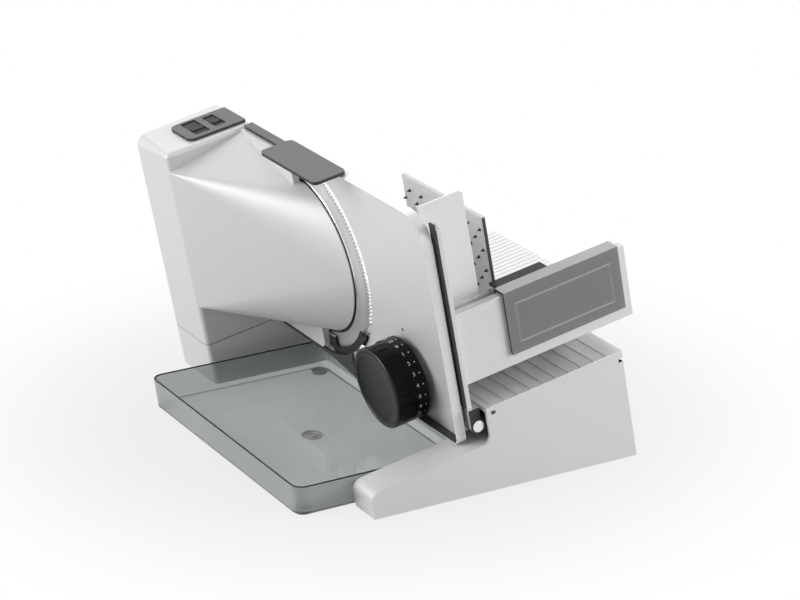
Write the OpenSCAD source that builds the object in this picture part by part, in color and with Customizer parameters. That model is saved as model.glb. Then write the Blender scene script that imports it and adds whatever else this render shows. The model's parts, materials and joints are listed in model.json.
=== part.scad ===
// Electric food slicer with a carriage, a dial-set stop plate and a slice tray.
// The machine leans to the left, so most pieces are drawn in a leaning frame:
// x points to the right and up, y away from the operator, z up and to the left.
// Its zero lies at the tray's near left corner, on the table.

/* [Machine] */
// Lean of the whole machine to the left, in degrees
lean = 10.7; // [8:0.1:13]
// Food face of the stop plate, the plane that the slice thickness counts from
food_x = 147.2; // [146:0.1:150]
// Wall of the cast base
base_wall = 3; // [2.4:0.1:4]
// Wall of the motor housing and its fairing
shell_wall = 2.6; // [2:0.1:3.2]
// Gap between covers that close on each other
seam_gap = 0.3; // [0.2:0.05:0.5]
// Radial gap of shafts and pins in their bores
run_gap = 0.05; // [0.02:0.01:0.09]
// Gap between pieces that slide past each other
slide_gap = 0.6; // [0.4:0.05:1]
// Thickness of folded sheet metal
sheet_t = 1.2; // [1:0.1:1.6]

/* [Blade] */
// Blade diameter over the teeth
blade_d = 177; // [174:1:178]
// Blade thickness
blade_t = 1.5; // [1.2:0.1:2]
// Distance of the cutting edge behind the food face
edge_back = 1.8; // [1.4:0.1:2.4]
// Width of the ground bevel
bevel_w = 9; // [6:0.5:12]
// Pitch of the wave-ground teeth along the rim
tooth_pitch = 4.2; // [3.6:0.2:8]
// Depth of each wave
tooth_depth = 0.9; // [0.5:0.1:1.4]
// Blade axis, away from the operator
blade_y = 193; // [190:1:196]
// Blade axis, height in the leaning frame
blade_z = 112; // [110:1:114]
// Clearance of the well round the far half of the blade
well_clear = 2.5; // [1.5:0.5:4]

/* [Drive] */
// Teeth of the ring gear on the blade
ring_teeth = 64; // [64:2:64]
// Teeth of the idler's small gear
idler_small_teeth = 14; // [14:2:14]
// Teeth of the idler's large gear
idler_large_teeth = 56; // [56:2:56]
// Teeth of the motor pinion
pinion_teeth = 12; // [12:2:12]
// Module of the blade stage
blade_module = 1.5; // [1.45:0.05:1.5]
// Module of the motor stage
motor_module = 1.25; // [1.2:0.05:1.3]
// Face width of the motor stage
gear_w = 8; // [7:0.5:9]
// Face width of the blade stage
ring_w = 5; // [4:0.25:5]
// Backlash between the teeth at the pitch line
backlash = 0.16; // [0.1:0.02:0.24]
// Motor can diameter
motor_d = 52; // [48:1:53]
// Motor can length
motor_l = 35; // [30:1:36]
// Blade axle radius
axle_r = 7; // [6:0.5:8]
// Motor shaft radius
shaft_r = 4; // [3.5:0.25:5]

/* [Housing] */
// Left face of the tower
tower_left_x = 65; // [62:1:67]
// Near face of the tower
tower_front_y = 271.6; // [270:0.2:273]
// Back of the tower
tower_back_y = 338; // [336:1:342]
// Top of the tower in the leaning frame
tower_top_z = 206; // [204:1:208]
// Seam between the housing and the base
seam_z = 26.8; // [25:0.2:28]
// Radius of the fairing where it ends at the blade
fairing_r = 68.4; // [67:0.2:69.4]
// Corner radius of the tower's back left edge
tower_corner_r = 10; // [7:0.5:12]
// Corner radius of the tower's near left edge
tower_front_r = 4; // [3.6:0.2:6]
// Left face of the blade well
well_x = 135.5; // [135:0.25:136]
// Near edge of the blade well
well_front_y = 186; // [184:0.5:188]

/* [Base] */
// Front face of the base, nearer than the tray's near edge
base_front_y = -32; // [-34:0.5:-30]
// Left end of the base's front leg
leg_left_x = 50.5; // [48:0.5:54]
// Top of the front leg
leg_top_z = 13.6; // [12.6:0.2:13.8]
// Back of the front leg
leg_back_y = -2; // [-3:0.5:-1]
// Left edge of the raised deck
deck_left_x = 162; // [160:0.5:164]
// Right edge of the raised deck
deck_right_x = 291; // [288:0.5:294]
// Top of the deck sheet
deck_z = 43.3; // [42:0.1:44]
// Left wall of the base behind the front leg
channel_x = 174; // [173:0.5:176]
// Back of the deck part of the base
wedge_back_y = 322; // [316:1:330]
// Height of the base's lower edge above the table
base_lift = 1; // [0.8:0.1:1.4]
// Rounding of the leg's end
leg_nose_r = 8; // [5:0.5:10]
// Rounding of the corner between leg and deck part
notch_r = 6; // [4:0.5:8]
// Foot radius
foot_r = 8; // [6:0.5:9]

/* [Stop plate and dial] */
// Near edge of the stop plate
plate_front_y = -20; // [-22:0.5:-18]
// Lower edge of the stop plate
plate_low_z = 14.5; // [14.2:0.1:16]
// Upper edge of the stop plate
plate_top_z = 212; // [210:0.5:213]
// Depth of the plate's folded rim
plate_rim = 8.8; // [7:0.2:10]
// Corner radius of the stop plate
plate_corner_r = 24; // [16:1:28]
// Travel of the stop plate from covered blade to thickest slice
plate_travel = 22; // [18:1:22]
// Dial diameter
dial_d = 69; // [66:0.5:70]
// Dial length
dial_l = 29; // [28:0.25:29]
// Dial axis, away from the operator
dial_y = 51; // [50:0.5:53]
// Dial axis, height in the leaning frame
dial_z = 50.5; // [50:0.5:53]
// Turn of the dial over the whole travel, in degrees
dial_turn = 344; // [330:2:344]

/* [Carriage] */
// Thickness of the carriage's left strip and skirt
carriage_left_x = 150.5; // [150.3:0.1:151]
// Right end of the carriage
carriage_right_x = 316; // [312:0.5:320]
// Front face of the carriage wall
carriage_front_y = -16; // [-16.5:0.1:-15.5]
// Lower edge of the carriage wall
carriage_low_z = 60.4; // [59:0.2:61]
// Upper edge of the carriage wall
carriage_top_z = 122.4; // [121:0.2:123]
// Depth of the hollow wall, front to back
carriage_wall_d = 18; // [17:0.2:19]
// Underside of the food platform
platform_z = 66; // [65:0.5:67]
// Far edge of the food platform
platform_back_y = 196; // [180:1:200]
// Pitch of the platform's ribs
rib_pitch = 6; // [5:0.5:8]
// Top of the tall guard
guard_top_z = 212.5; // [208:0.5:213]
// Right edge of the tall guard
guard_right_x = 191; // [186:0.5:192]
// Stroke of the carriage
carriage_travel = 190; // [160:5:200]
// Radius of the guide rod
rod_r = 5; // [4.5:0.25:5.25]
// Guide rod axis, across
rod_x = 156; // [155.8:0.1:156.4]
// Guide rod axis, height in the leaning frame
rod_z = 28; // [27.5:0.25:28.5]

/* [Remnant holder] */
// Left end of the holder's front panel
holder_left_x = 200.6; // [199:0.2:202]
// Length of the front panel
holder_l = 108; // [104:0.5:110]
// Height of the front panel
holder_h = 55; // [50:0.5:58]
// Wall of the holder
holder_wall = 2.4; // [2:0.1:2.6]
// Far edge of the spiked plate
spike_back_y = 130; // [115:1:134]
// Top of the spiked plate
spike_top_z = 181; // [170:1:184]
// Pitch of the spikes
spike_pitch = 9; // [8:0.5:12]
// Height of a spike
spike_h = 3.4; // [2.4:0.2:4]
/* [Tray] */
// Tray width over the rim
tray_w = 168; // [160:1:169]
// Right edge of the tray, beside the base
tray_right_x = 168; // [167:0.5:169]
// Tray depth over the rim
tray_d = 262; // [250:1:264]
// Tray height
tray_h = 26.5; // [22:0.5:27]
// Wall of the tray
tray_wall = 2; // [1.6:0.1:2.4]
// Draft of the tray wall, over its whole height
tray_draft = 2.6; // [1.5:0.1:3.5]
// Corner radius of the tray
tray_corner_r = 12; // [8:1:18]

/* [Hidden] */

// One overrun serves all cuts
over = 1;
sliver = 0.01;
rim_fn = 96;
small_fn = 32;

// Right lower corner of the carriage, the part's rightmost point, and the box middle
right_x = carriage_right_x * cos(lean) - carriage_low_z * sin(lean);
tray_left_x = tray_right_x - tray_w;
origin_x = (tray_left_x + right_x) / 2;
origin_y = (base_front_y + tower_back_y) / 2;

module standing() { translate([-origin_x, -origin_y, 0]) children(); }
module leaning() { standing() rotate([0, -lean, 0]) children(); }

// A leaning x turned into a standing x at a given height above the table
function floor_x(x, height) = x / cos(lean) - height * tan(lean);

module along_x(x0, x1) { translate([x0, 0, 0]) rotate([90, 0, 90]) linear_extrude(x1 - x0) children(); }
module along_y(y0, y1) { translate([0, y1, 0]) rotate([90, 0, 0]) linear_extrude(y1 - y0) children(); }
module rod_along_x(r, x0, x1, y, z, fn = rim_fn) {
  translate([x0, y, z]) rotate([0, 90, 0]) cylinder(r = r, h = x1 - x0, $fn = fn);
}
module rod_along_y(r, y0, y1, x, z, fn = rim_fn) {
  translate([x, y1, z]) rotate([90, 0, 0]) cylinder(r = r, h = y1 - y0, $fn = fn);
}
module block(low, high) { translate(low) cube(high - low); }

// Arc that replaces corner b of a path between a and c
function unit(v) = v / norm(v);
function corner_arc(a, b, c, r, steps) =
  let (u = unit(a - b), v = unit(c - b), half = acos(u * v) / 2,
       mid = b + unit(u + v) * r / sin(half), p = b + u * r / tan(half), q = b + v * r / tan(half),
       from = atan2(p[1] - mid[1], p[0] - mid[0]), to = atan2(q[1] - mid[1], q[0] - mid[0]),
       turn = (to - from + 540) % 360 - 180)
  [for (i = [0:steps]) mid + r * [cos(from + turn * i / steps), sin(from + turn * i / steps)]];
function rounded_path(points, radii, steps = 6) =
  let (count = len(points))
  [for (i = [0:count - 1])
    each radii[i] <= 0 ? [points[i]]
      : corner_arc(points[(i + count - 1) % count], points[i], points[(i + 1) % count], radii[i], steps)];
module rounded_box(low, high, r, steps = 6) {
  polygon(rounded_path([low, [high[0], low[1]], high, [low[0], high[1]]], [r, r, r, r], steps));
}

// Involute gear outline with a tooth on the first axis
gear_pressure = 25;
tooth_top_share = 0.9;
tooth_root_share = 1.15;
function polar(r, a) = [r * cos(a), r * sin(a)];
function roll(r, base) = tan(acos(min(1, base / r))) * 180 / PI - acos(min(1, base / r));
function gear_points(teeth, unit_m, steps = 2) =
  let (pitch = teeth * unit_m / 2, base = pitch * cos(gear_pressure),
       tip = pitch + tooth_top_share * unit_m, root = pitch - tooth_root_share * unit_m,
       start = max(base, root),
       half = 90 / teeth - backlash / 4 / pitch * 180 / PI + roll(pitch, base),
       foot = half - roll(start, base))
  [for (i = [0:teeth - 1]) let (mid = 360 * i / teeth) each concat(
    [polar(root, mid - foot)],
    [for (k = [0:steps]) let (r = start + (tip - start) * k / steps) polar(r, mid - half + roll(r, base))],
    [for (k = [steps:-1:0]) let (r = start + (tip - start) * k / steps) polar(r, mid + half - roll(r, base))],
    [polar(root, mid + foot)])];

// Stations of the blade and its drive along x, from the food face to the motor
blade_face_x = food_x - edge_back;
blade_back_x = blade_face_x - blade_t;
hub_flange_t = 1.5;
ring_web_t = 2;
ring_right_x = blade_back_x - hub_flange_t;
ring_left_x = ring_right_x - ring_w;
gear_plate_t = 3;
hub_left_x = ring_left_x - ring_w;
gear_plate_x = hub_left_x - 2 * gear_plate_t;
large_right_x = gear_plate_x - hub_flange_t * 2;
large_left_x = large_right_x - gear_w;
bracket_t = 3;
bracket_x = large_left_x - hub_flange_t - bracket_t;
ring_pitch_r = ring_teeth * blade_module / 2;
idler_y = blade_y + (ring_teeth + idler_small_teeth) * blade_module / 2;
motor_y = idler_y + (idler_large_teeth + pinion_teeth) * motor_module / 2;
motor_left_x = bracket_x - motor_l;
well_floor_x = blade_back_x - hub_flange_t - sheet_t;

// Base, in one casting with the lower part of the tower
leg_wall_z = leg_top_z - base_wall;
shadow_gap = 0.8;
deck_sheet_t = 1;
deck_rib_h = 0.5;
deck_rib_pitch = 12;
deck_seat_z = deck_z - deck_sheet_t;
deck_edge_r = 2;
base_under_z = -deck_right_x * tan(lean) - foot_r;
tower_base_right_x = channel_x + base_wall;
pin_z = 10;
pin_near_y = 86;
pin_far_y = 122;
pin_ys = [pin_near_y, pin_far_y];
pin_r = 3;
bush_r = 5.5;
bush_flange = 1.5;
arm_w = 5;
arm_low_z = 4.5;
arm_h = 4.5;
arm_y = dial_y + 16 * dial_d / 69;
gland_r = 7;
gland_x = 105;
gland_z = 2;
slit_w = 4;
slit_h = 3;

module base_outline() {
  polygon(rounded_path(
    [[leg_left_x, base_under_z], [leg_left_x, leg_top_z], [deck_left_x, leg_top_z],
     [deck_left_x, deck_seat_z], [deck_right_x, deck_seat_z], [deck_right_x, base_under_z]],
    [0, leg_nose_r, notch_r, deck_edge_r, deck_edge_r, 0]));
}
module leg_outline(inset) {
  polygon(rounded_path(
    [[leg_left_x + inset, base_under_z], [leg_left_x + inset, leg_top_z - inset],
     [tower_base_right_x, leg_top_z - inset], [tower_base_right_x, base_under_z]],
    [0, leg_nose_r - inset, 0, 0]));
}
module tower_plan(inset) {
  edge = base_wall - inset / 2;
  polygon(rounded_path(
    [[tower_left_x + inset, tower_front_y + inset], [tower_base_right_x - inset, tower_front_y + inset],
     [tower_base_right_x - inset, tower_back_y - inset], [tower_left_x + inset, tower_back_y - inset]],
    [tower_front_r - inset, edge, edge, tower_corner_r - inset]));
}
module table_cut() {
  rotate([0, lean, 0])
    block([-deck_right_x, base_front_y - over, -deck_right_x],
          [2 * deck_right_x, tower_back_y + over, base_lift]);
}
module slit(x, z) {
  block([x, base_front_y - over, z], [x + slit_w, base_front_y + base_wall + over, z + slit_h]);
}
module base_housing() color([0.78, 0.78, 0.78]) leaning() difference() {
  union() {
    along_y(base_front_y, base_front_y + base_wall) base_outline();
    along_y(base_front_y, leg_back_y) leg_outline(0);
    block([channel_x, base_front_y, base_under_z], [deck_right_x, wedge_back_y, deck_seat_z]);
    block([deck_left_x, base_front_y, deck_seat_z - base_wall], [channel_x + over, wedge_back_y, deck_seat_z]);
    translate([0, 0, base_under_z]) linear_extrude(seam_z - shadow_gap - base_under_z) tower_plan(0);
    translate([0, 0, base_under_z]) linear_extrude(seam_z - base_under_z) tower_plan(shadow_gap);
  }
  difference() {
    block([channel_x + base_wall, base_front_y + base_wall, base_under_z - over],
          [deck_right_x - base_wall, wedge_back_y - base_wall, deck_seat_z - base_wall]);
    rotate([0, lean, 0]) for (p = screw_places) translate([p[0], p[1], base_lift + cover_t])
      cylinder(r = boss_r, h = deck_right_x, $fn = small_fn);
  }
  rotate([0, lean, 0]) for (p = screw_places) translate([p[0], p[1], 0])
    cylinder(r = screw_r, h = screw_l, $fn = small_fn);
  along_y(base_front_y + base_wall, leg_back_y - base_wall) leg_outline(base_wall);
  translate([0, 0, base_under_z - over])
    linear_extrude(seam_z - base_under_z + over - base_wall) tower_plan(base_wall);
  translate([0, 0, base_under_z]) linear_extrude(seam_z - base_under_z + over) intersection() {
    tower_plan(base_wall);
    translate([tower_left_x, tower_front_y])
      square([housing_right_x - base_wall - tower_left_x, tower_back_y - tower_front_y]);
  }
  for (y = pin_ys) rod_along_x(bush_r, channel_x - over, channel_x + base_wall + over, y, pin_z);
  block([channel_x - over, arm_y, arm_low_z], [channel_x + base_wall + over, arm_y + arm_w, arm_low_z + arm_h]);
  rod_along_y(gland_r, tower_back_y - base_wall - over, tower_back_y + over, gland_x, gland_z);
  slit(deck_left_x + slit_w, deck_seat_z - 2 * slit_h);
  slit(deck_right_x - slit_w, deck_seat_z - 2 * slit_h - base_wall);
  table_cut();
}

// Cover plate that closes the base from below
cover_t = 1.6;
cover_gap = 0.4;
foot_inset = 26;
foot_h = 3;
screw_r = 2;
screw_head_r = 3.6;
screw_head_t = 0.8;
screw_l = 12;
boss_r = 5;
cover_left_x = floor_x(channel_x + base_wall, base_lift) + cover_gap;
cover_right_x = floor_x(deck_right_x - base_wall, base_lift + cover_t) - cover_gap;
foot_places = [for (x = [cover_left_x + foot_inset / 2, cover_right_x - foot_inset / 2],
                    y = [base_front_y + foot_inset, wedge_back_y - foot_inset]) [x, y]];
screw_places = [for (x = [cover_left_x + foot_inset, cover_right_x - foot_inset], y = [foot_inset, origin_y,
                    wedge_back_y - 2 * foot_inset]) [x, y]];
module base_cover() color([0.3, 0.31, 0.32]) standing() difference() {
  block([cover_left_x, base_front_y + base_wall + cover_gap, base_lift],
        [cover_right_x, wedge_back_y - base_wall - cover_gap, base_lift + cover_t]);
  for (p = foot_places) translate([p[0], p[1], 0]) cylinder(r = foot_r / 2, h = tray_h, $fn = small_fn);
  for (p = screw_places) translate([p[0], p[1], 0]) cylinder(r = screw_r + cover_gap / 4, h = tray_h, $fn = small_fn);
}
module rubber_feet() color([0.12, 0.12, 0.12]) standing() for (p = foot_places) translate([p[0], p[1], 0]) {
  cylinder(r = foot_r, h = base_lift, $fn = small_fn);
  cylinder(r = foot_r / 2, h = foot_h, $fn = small_fn);
}

// Stainless deck sheet with low ribs, lipped at its left edge
module deck_plate() color([0.72, 0.73, 0.73]) leaning() union() {
  block([deck_left_x, base_front_y, deck_seat_z], [deck_right_x, wedge_back_y, deck_z]);
  for (x = [deck_left_x + deck_rib_pitch / 2:deck_rib_pitch:deck_right_x - deck_rib_pitch / 2])
    block([x, base_front_y, deck_z - deck_sheet_t / 2],
          [x + deck_sheet_t, wedge_back_y, deck_z + deck_rib_h]);
}

// Rail along the channel: a C with a web that holds the steel rod
web_h = 5;
rail_low_z = pin_z + bush_r + bush_flange + seam_gap;
rail_high_z = deck_seat_z - base_wall;
rail_front_y = base_front_y + base_wall + slide_gap * 4;
rail_back_y = tower_front_y - over;
rail_t = 1.6;
rail_lip = 6;
module guide_rail() color([0.25, 0.25, 0.26]) leaning() difference() {
  union() {
    block([rod_x, rail_front_y, rod_z - web_h / 2], [channel_x, rail_back_y, rod_z + web_h / 2]);
    block([channel_x - rail_t, rail_front_y, rail_low_z], [channel_x, rail_back_y, rail_high_z]);
    block([channel_x - rail_lip, rail_front_y, rail_low_z], [channel_x, rail_back_y, rail_low_z + rail_t]);
    block([channel_x - rail_lip, rail_front_y, rail_high_z - rail_t], [channel_x, rail_back_y, rail_high_z]);
  }
  rod_along_y(rod_r, rail_front_y - over, rail_back_y + over, rod_x, rod_z);
}
module guide_rod() color([0.8, 0.8, 0.8]) leaning()
  rod_along_y(rod_r, rail_front_y, rail_back_y, rod_x, rod_z);

// Flanged bushes in the base wall for the stop plate's pins
bush_l = 14;
module pin_bushes() color([0.7, 0.6, 0.35]) leaning() for (y = pin_ys) difference() {
  union() {
    rod_along_x(bush_r, channel_x, channel_x + bush_l, y, pin_z);
    rod_along_x(bush_r + bush_flange, channel_x - bush_flange, channel_x, y, pin_z);
  }
  rod_along_x(pin_r + run_gap, channel_x - bush_l, channel_x + 2 * bush_l, y, pin_z);
}

// Rubber gland in the back of the tower base
gland_bore_r = 3.6;
gland_lip = 2;
module cord_gland() color([0.1, 0.1, 0.1]) leaning() difference() {
  union() {
    rod_along_y(gland_r, tower_back_y - base_wall - gland_lip, tower_back_y, gland_x, gland_z);
    rod_along_y(gland_r + gland_lip, tower_back_y - base_wall - gland_lip,
                tower_back_y - base_wall, gland_x, gland_z);
  }
  rod_along_y(gland_bore_r, tower_back_y - 4 * base_wall, tower_back_y + over, gland_x, gland_z);
}

// Motor housing: the tower, the fairing that sweeps to the blade, and the blade well.
// The fairing is the skin stretched from a slanted quadrilateral on the tower to the blade circle.
housing_right_x = food_x;
fairing_end_x = blade_back_x - seam_gap * 2;
skin_t = 1;
fairing_low_left_z = 64;
fairing_low_right_z = seam_z + seam_gap;
fairing_top_left_z = 190;
well_r = blade_d / 2 + well_clear;
well_top_z = blade_z + well_r + sheet_t;
well_corner_r = 8;
rear_open_margin = 7;
panel_left_x = 92;
panel_right_x = 145.5;
panel_front_y = 279;
panel_back_y = 319;
post_r = 4;
post_rise = 48;
post_reach = 69;
post_back = 14;
well_post_places = [for (side = [-1, 1]) [blade_y + post_reach, blade_z + side * post_rise]];
tower_post_places = [for (side = [-1, 1]) [tower_back_y - post_back, blade_z + side * post_rise]];

module fairing_skin(inset, reach) {
  hull() {
    rod_along_x(fairing_r - inset, fairing_end_x - skin_t + reach, fairing_end_x + reach, blade_y, blade_z);
    along_y(tower_front_y, tower_front_y + tower_front_r + reach) polygon([
      [tower_left_x + inset, fairing_low_left_z + inset],
      [well_x + shell_wall, fairing_low_right_z + 2 * inset],
      [well_x + shell_wall * 2 - inset, tower_top_z - shell_wall - inset * 2],
      [tower_left_x + inset, fairing_top_left_z - inset]]);
  }
}
module tower_edge(x, y, r, low) {
  translate([x, y, low]) cylinder(r = r, h = skin_t, $fn = small_fn);
  translate([x, y, tower_top_z - r]) sphere(r = r, $fn = small_fn);
}
module tower_body(inset, low) {
  edge = shell_wall * 1.5;
  hull() {
    translate([0, 0, -inset]) {
      tower_edge(tower_left_x + tower_front_r, tower_front_y + tower_front_r, tower_front_r - inset, low);
      tower_edge(tower_left_x + tower_corner_r, tower_back_y - tower_corner_r, tower_corner_r - inset, low);
      tower_edge(housing_right_x - edge, tower_front_y + edge, edge - inset, low);
      tower_edge(housing_right_x - edge, tower_back_y - edge, edge - inset, low);
    }
  }
}
module motor_housing() color([0.8, 0.8, 0.8]) leaning() difference() {
  union() {
    tower_body(0, seam_z);
    fairing_skin(0, 0);
    along_x(well_x, housing_right_x) polygon(rounded_path(
      [[well_front_y, seam_z], [tower_front_y + tower_corner_r, seam_z],
       [tower_front_y + tower_corner_r, well_top_z], [well_front_y, well_top_z]],
      [well_corner_r, 0, 0, well_corner_r / 4]));
  }
  difference() {
    rod_along_x(well_r, well_floor_x, housing_right_x + over, blade_y, blade_z);
    rod_along_x(fairing_r, well_floor_x - over, fairing_end_x, blade_y, blade_z);
  }
  fairing_skin(shell_wall, skin_t * 3);
  tower_body(shell_wall, seam_z - over);
  block([tower_left_x + rear_open_margin, tower_back_y - shell_wall - over, seam_z + rear_open_margin],
        [housing_right_x - rear_open_margin, tower_back_y + over, tower_top_z - rear_open_margin * 1.6]);
  block([panel_left_x + shell_wall, panel_front_y + shell_wall, tower_top_z - 2 * shell_wall],
        [panel_right_x - 2 * shell_wall, panel_back_y - shell_wall, tower_top_z + over]);
  rod_along_x(idler_small_teeth * blade_module / 2 + blade_module * 2, well_x - over, ring_right_x + seam_gap,
              idler_y, blade_z);
}

// Cover on the back of the tower with cooling slots
vent_count = 9;
vent_w = 3;
vent_pitch = 7;
vent_l = 42;
module rear_cover() color([0.72, 0.72, 0.72]) leaning() difference() {
  union() {
    block([tower_left_x + rear_open_margin + seam_gap, tower_back_y - shell_wall, seam_z + rear_open_margin + seam_gap],
          [housing_right_x - rear_open_margin - seam_gap, tower_back_y, tower_top_z - rear_open_margin * 1.6 - seam_gap]);
    block([tower_left_x + tower_corner_r + seam_gap, tower_back_y - 2 * shell_wall, seam_z + shell_wall],
          [housing_right_x - shell_wall * 3, tower_back_y - shell_wall, tower_top_z - shell_wall - tower_corner_r]);
  }
  for (p = rear_screw_places) {
    rod_along_y(screw_head_r + cover_gap, tower_back_y - shell_wall, tower_back_y + over, p[0], p[1], small_fn);
    rod_along_y(screw_r + cover_gap / 4, tower_back_y - 3 * shell_wall, tower_back_y + over, p[0], p[1], small_fn);
  }
  for (i = [0:vent_count - 1])
    block([motor_left_x - vent_l / 4, tower_back_y - 3 * shell_wall, blade_z + (i - vent_count / 2) * vent_pitch],
          [motor_left_x - vent_l / 4 + vent_l, tower_back_y + over, blade_z + (i - vent_count / 2) * vent_pitch + vent_w]);
}

// Switch panel with two windows for the buttons
panel_t = 2.4;
panel_corner_r = 6;
on_window_in = 9;
on_window_w = 13.5;
on_window_l = 31;
lock_window_in = 28.5;
lock_window_w = 10.5;
lock_window_l = 26;
panel_mid_y = (panel_front_y + panel_back_y) / 2 + panel_t / 2;
window_1 = [[panel_left_x + on_window_in, panel_mid_y - on_window_l / 2],
            [panel_left_x + on_window_in + on_window_w, panel_mid_y + on_window_l / 2]];
window_2 = [[panel_left_x + lock_window_in, panel_mid_y - lock_window_l / 2],
            [panel_left_x + lock_window_in + lock_window_w, panel_mid_y + lock_window_l / 2]];
window_r = 1.5;
button_travel = 2.5;
button_gap = 0.4;
module panel_plan(inset) {
  polygon(rounded_path(
    [[panel_left_x + inset, panel_front_y + inset], [panel_right_x - inset, panel_front_y + inset],
     [panel_right_x - inset, panel_back_y - inset], [panel_left_x + inset, panel_back_y - inset]],
    [panel_corner_r, window_r, window_r, panel_corner_r]));
}
module switch_panel() color([0.33, 0.34, 0.35]) leaning() difference() {
  union() {
    translate([0, 0, tower_top_z]) linear_extrude(panel_t) panel_plan(0);
    translate([0, 0, tower_top_z - 2 * shell_wall]) linear_extrude(2 * shell_wall)
      polygon([[panel_left_x + shell_wall + seam_gap, panel_front_y + shell_wall + seam_gap],
               [panel_right_x - 2 * shell_wall - seam_gap, panel_front_y + shell_wall + seam_gap],
               [panel_right_x - 2 * shell_wall - seam_gap, panel_back_y - shell_wall - seam_gap],
               [panel_left_x + shell_wall + seam_gap, panel_back_y - shell_wall - seam_gap]]);
  }
  for (w = [window_1, window_2])
    translate([0, 0, tower_top_z - 3 * shell_wall]) linear_extrude(6 * shell_wall) rounded_box(w[0], w[1], window_r);
}
module button(w) {
  low = [w[0][0] + button_gap, w[0][1] + button_gap];
  high = [w[1][0] - button_gap, w[1][1] - button_gap];
  bottom = tower_top_z - 2 * shell_wall;
  difference() {
    union() {
      translate([0, 0, bottom]) linear_extrude(panel_t / 2 + 2 * shell_wall) rounded_box(low, high, window_r);
      translate([0, (low[1] - high[1]) / 5, bottom]) linear_extrude(panel_t + 2 * shell_wall + button_gap)
        rounded_box([low[0] + button_gap * 2, (low[1] + high[1]) / 2], [high[0] - button_gap * 2,
                    (low[1] + high[1]) / 2 + panel_corner_r], window_r);
    }
  }
}
module on_button() color([0.08, 0.08, 0.08]) leaning() button(window_1);
module lock_button() color([0.08, 0.08, 0.08]) leaning() button(window_2);

// Switch body under the buttons, held by its rim against the panel
block_h = 22;
module switch_block() color([0.2, 0.2, 0.21]) leaning() {
  top = tower_top_z - 2 * shell_wall - button_travel - button_gap;
  difference() {
    block([panel_left_x + 2 * shell_wall, panel_front_y + 2 * shell_wall, top - block_h],
          [panel_right_x - 3 * shell_wall, panel_back_y - 2 * shell_wall, tower_top_z - 2 * shell_wall]);
    for (w = [window_1, window_2])
      translate([0, 0, top]) linear_extrude(block_h) rounded_box(w[0], w[1], window_r);
  }
}

// Dark cap over the blade's top and the strip along the well's rim
cap_left_x = 114.5;
cap_front_y = 101;
cap_back_y = 194;
cap_t = 2.8;
cap_corner_r = 5;
strip_left_x = 139;
strip_t = 3.2;
strip_groove = 1.4;
module guard_cap() color([0.33, 0.35, 0.36]) leaning() {
  translate([0, 0, plate_top_z + slide_gap]) linear_extrude(cap_t)
    rounded_box([cap_left_x, cap_front_y], [housing_right_x - shell_wall, cap_back_y], cap_corner_r);
  block([well_x + shell_wall, well_front_y + seam_gap, well_top_z],
        [housing_right_x - shell_wall - seam_gap, cap_back_y, plate_top_z + slide_gap]);
}
module guard_strip() color([0.33, 0.35, 0.36]) leaning() difference() {
  block([strip_left_x, cap_back_y + seam_gap, well_top_z], [housing_right_x, tower_front_y - seam_gap, well_top_z + strip_t]);
  block([strip_left_x - over, cap_back_y, well_top_z + strip_t / 3],
        [strip_left_x + strip_groove, tower_front_y, well_top_z + 2 * strip_t / 3]);
}

// Guard along the teeth of the blade's lower near rim, with a tab that lies on the well's floor
guard_w = 6.5;
guard_over = 1;
guard_from = -97;
guard_to = -144;
guard_t = 1.6;
guard_tab_w = 10;
guard_inner_r = blade_d / 2 + guard_over - guard_w;
module lower_blade_guard() color([0.55, 0.56, 0.56]) leaning() {
  along_x(well_floor_x, well_floor_x + guard_t) translate([blade_y, blade_z]) polygon(concat(
    [for (i = [0:24]) polar(guard_inner_r + guard_w, guard_from + (guard_to - guard_from) * i / 24)],
    [for (i = [24:-1:0]) polar(guard_inner_r, guard_from + (guard_to - guard_from) * i / 24)]));
  block([well_floor_x, well_front_y - guard_tab_w, blade_z - guard_inner_r - guard_w / 4],
        [well_floor_x + guard_t, well_front_y + guard_tab_w, blade_z - fairing_r - guard_over * 4]);
}

// Deflector that leads the slices into the tray: a black sheet under the well, deeper at its near end
deflector_l = 41;
deflector_drop = 14;
deflector_t = 2.4;
deflector_strip = 7;
deflector_top_z = blade_z - fairing_r - sheet_t * 2;
module slice_deflector() color([0.2, 0.21, 0.22]) leaning() difference() {
  near_y = well_front_y - deflector_l;
  low_z = seam_z - seam_gap;
  along_x(well_floor_x - deflector_t, well_floor_x - seam_gap / 3) polygon([
    [near_y, low_z - deflector_drop], [well_front_y, low_z - deflector_strip],
    [tower_front_y - seam_gap, low_z - deflector_strip], [tower_front_y - seam_gap, low_z],
    [well_front_y - well_corner_r / 2, low_z], [well_front_y - well_corner_r / 2, deflector_top_z],
    [near_y, deflector_top_z]]);
  rod_along_x(blade_d / 2 + slide_gap, well_x - over, food_x, blade_y, blade_z);
}

// Chassis plate inside the fairing that carries the blade axle and the gears
bush_wall = 3;
module gear_plate_plan() {
  difference() {
    union() {
      translate([blade_y, blade_z]) circle(r = 3 * axle_r, $fn = rim_fn);
      polygon([[blade_y, blade_z - 3 * axle_r], [well_post_places[0][0] - 2 * post_r, well_post_places[0][1] - 2 * post_r],
               [tower_post_places[0][0] + 1.5 * post_r, tower_post_places[0][1] - 2 * post_r],
               [tower_post_places[1][0] + 1.5 * post_r, tower_post_places[1][1] + 2 * post_r],
               [well_post_places[1][0] - 2 * post_r, well_post_places[1][1] + 2 * post_r], [blade_y, blade_z + 3 * axle_r]]);
    }
    translate([blade_y, blade_z]) circle(r = axle_r, $fn = rim_fn);
    translate([idler_y, blade_z]) circle(r = idler_shaft_r + bush_wall, $fn = rim_fn);
    translate([motor_y, blade_z]) circle(r = shaft_r + bush_wall, $fn = rim_fn);
  }
}
idler_shaft_r = 6;
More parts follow.
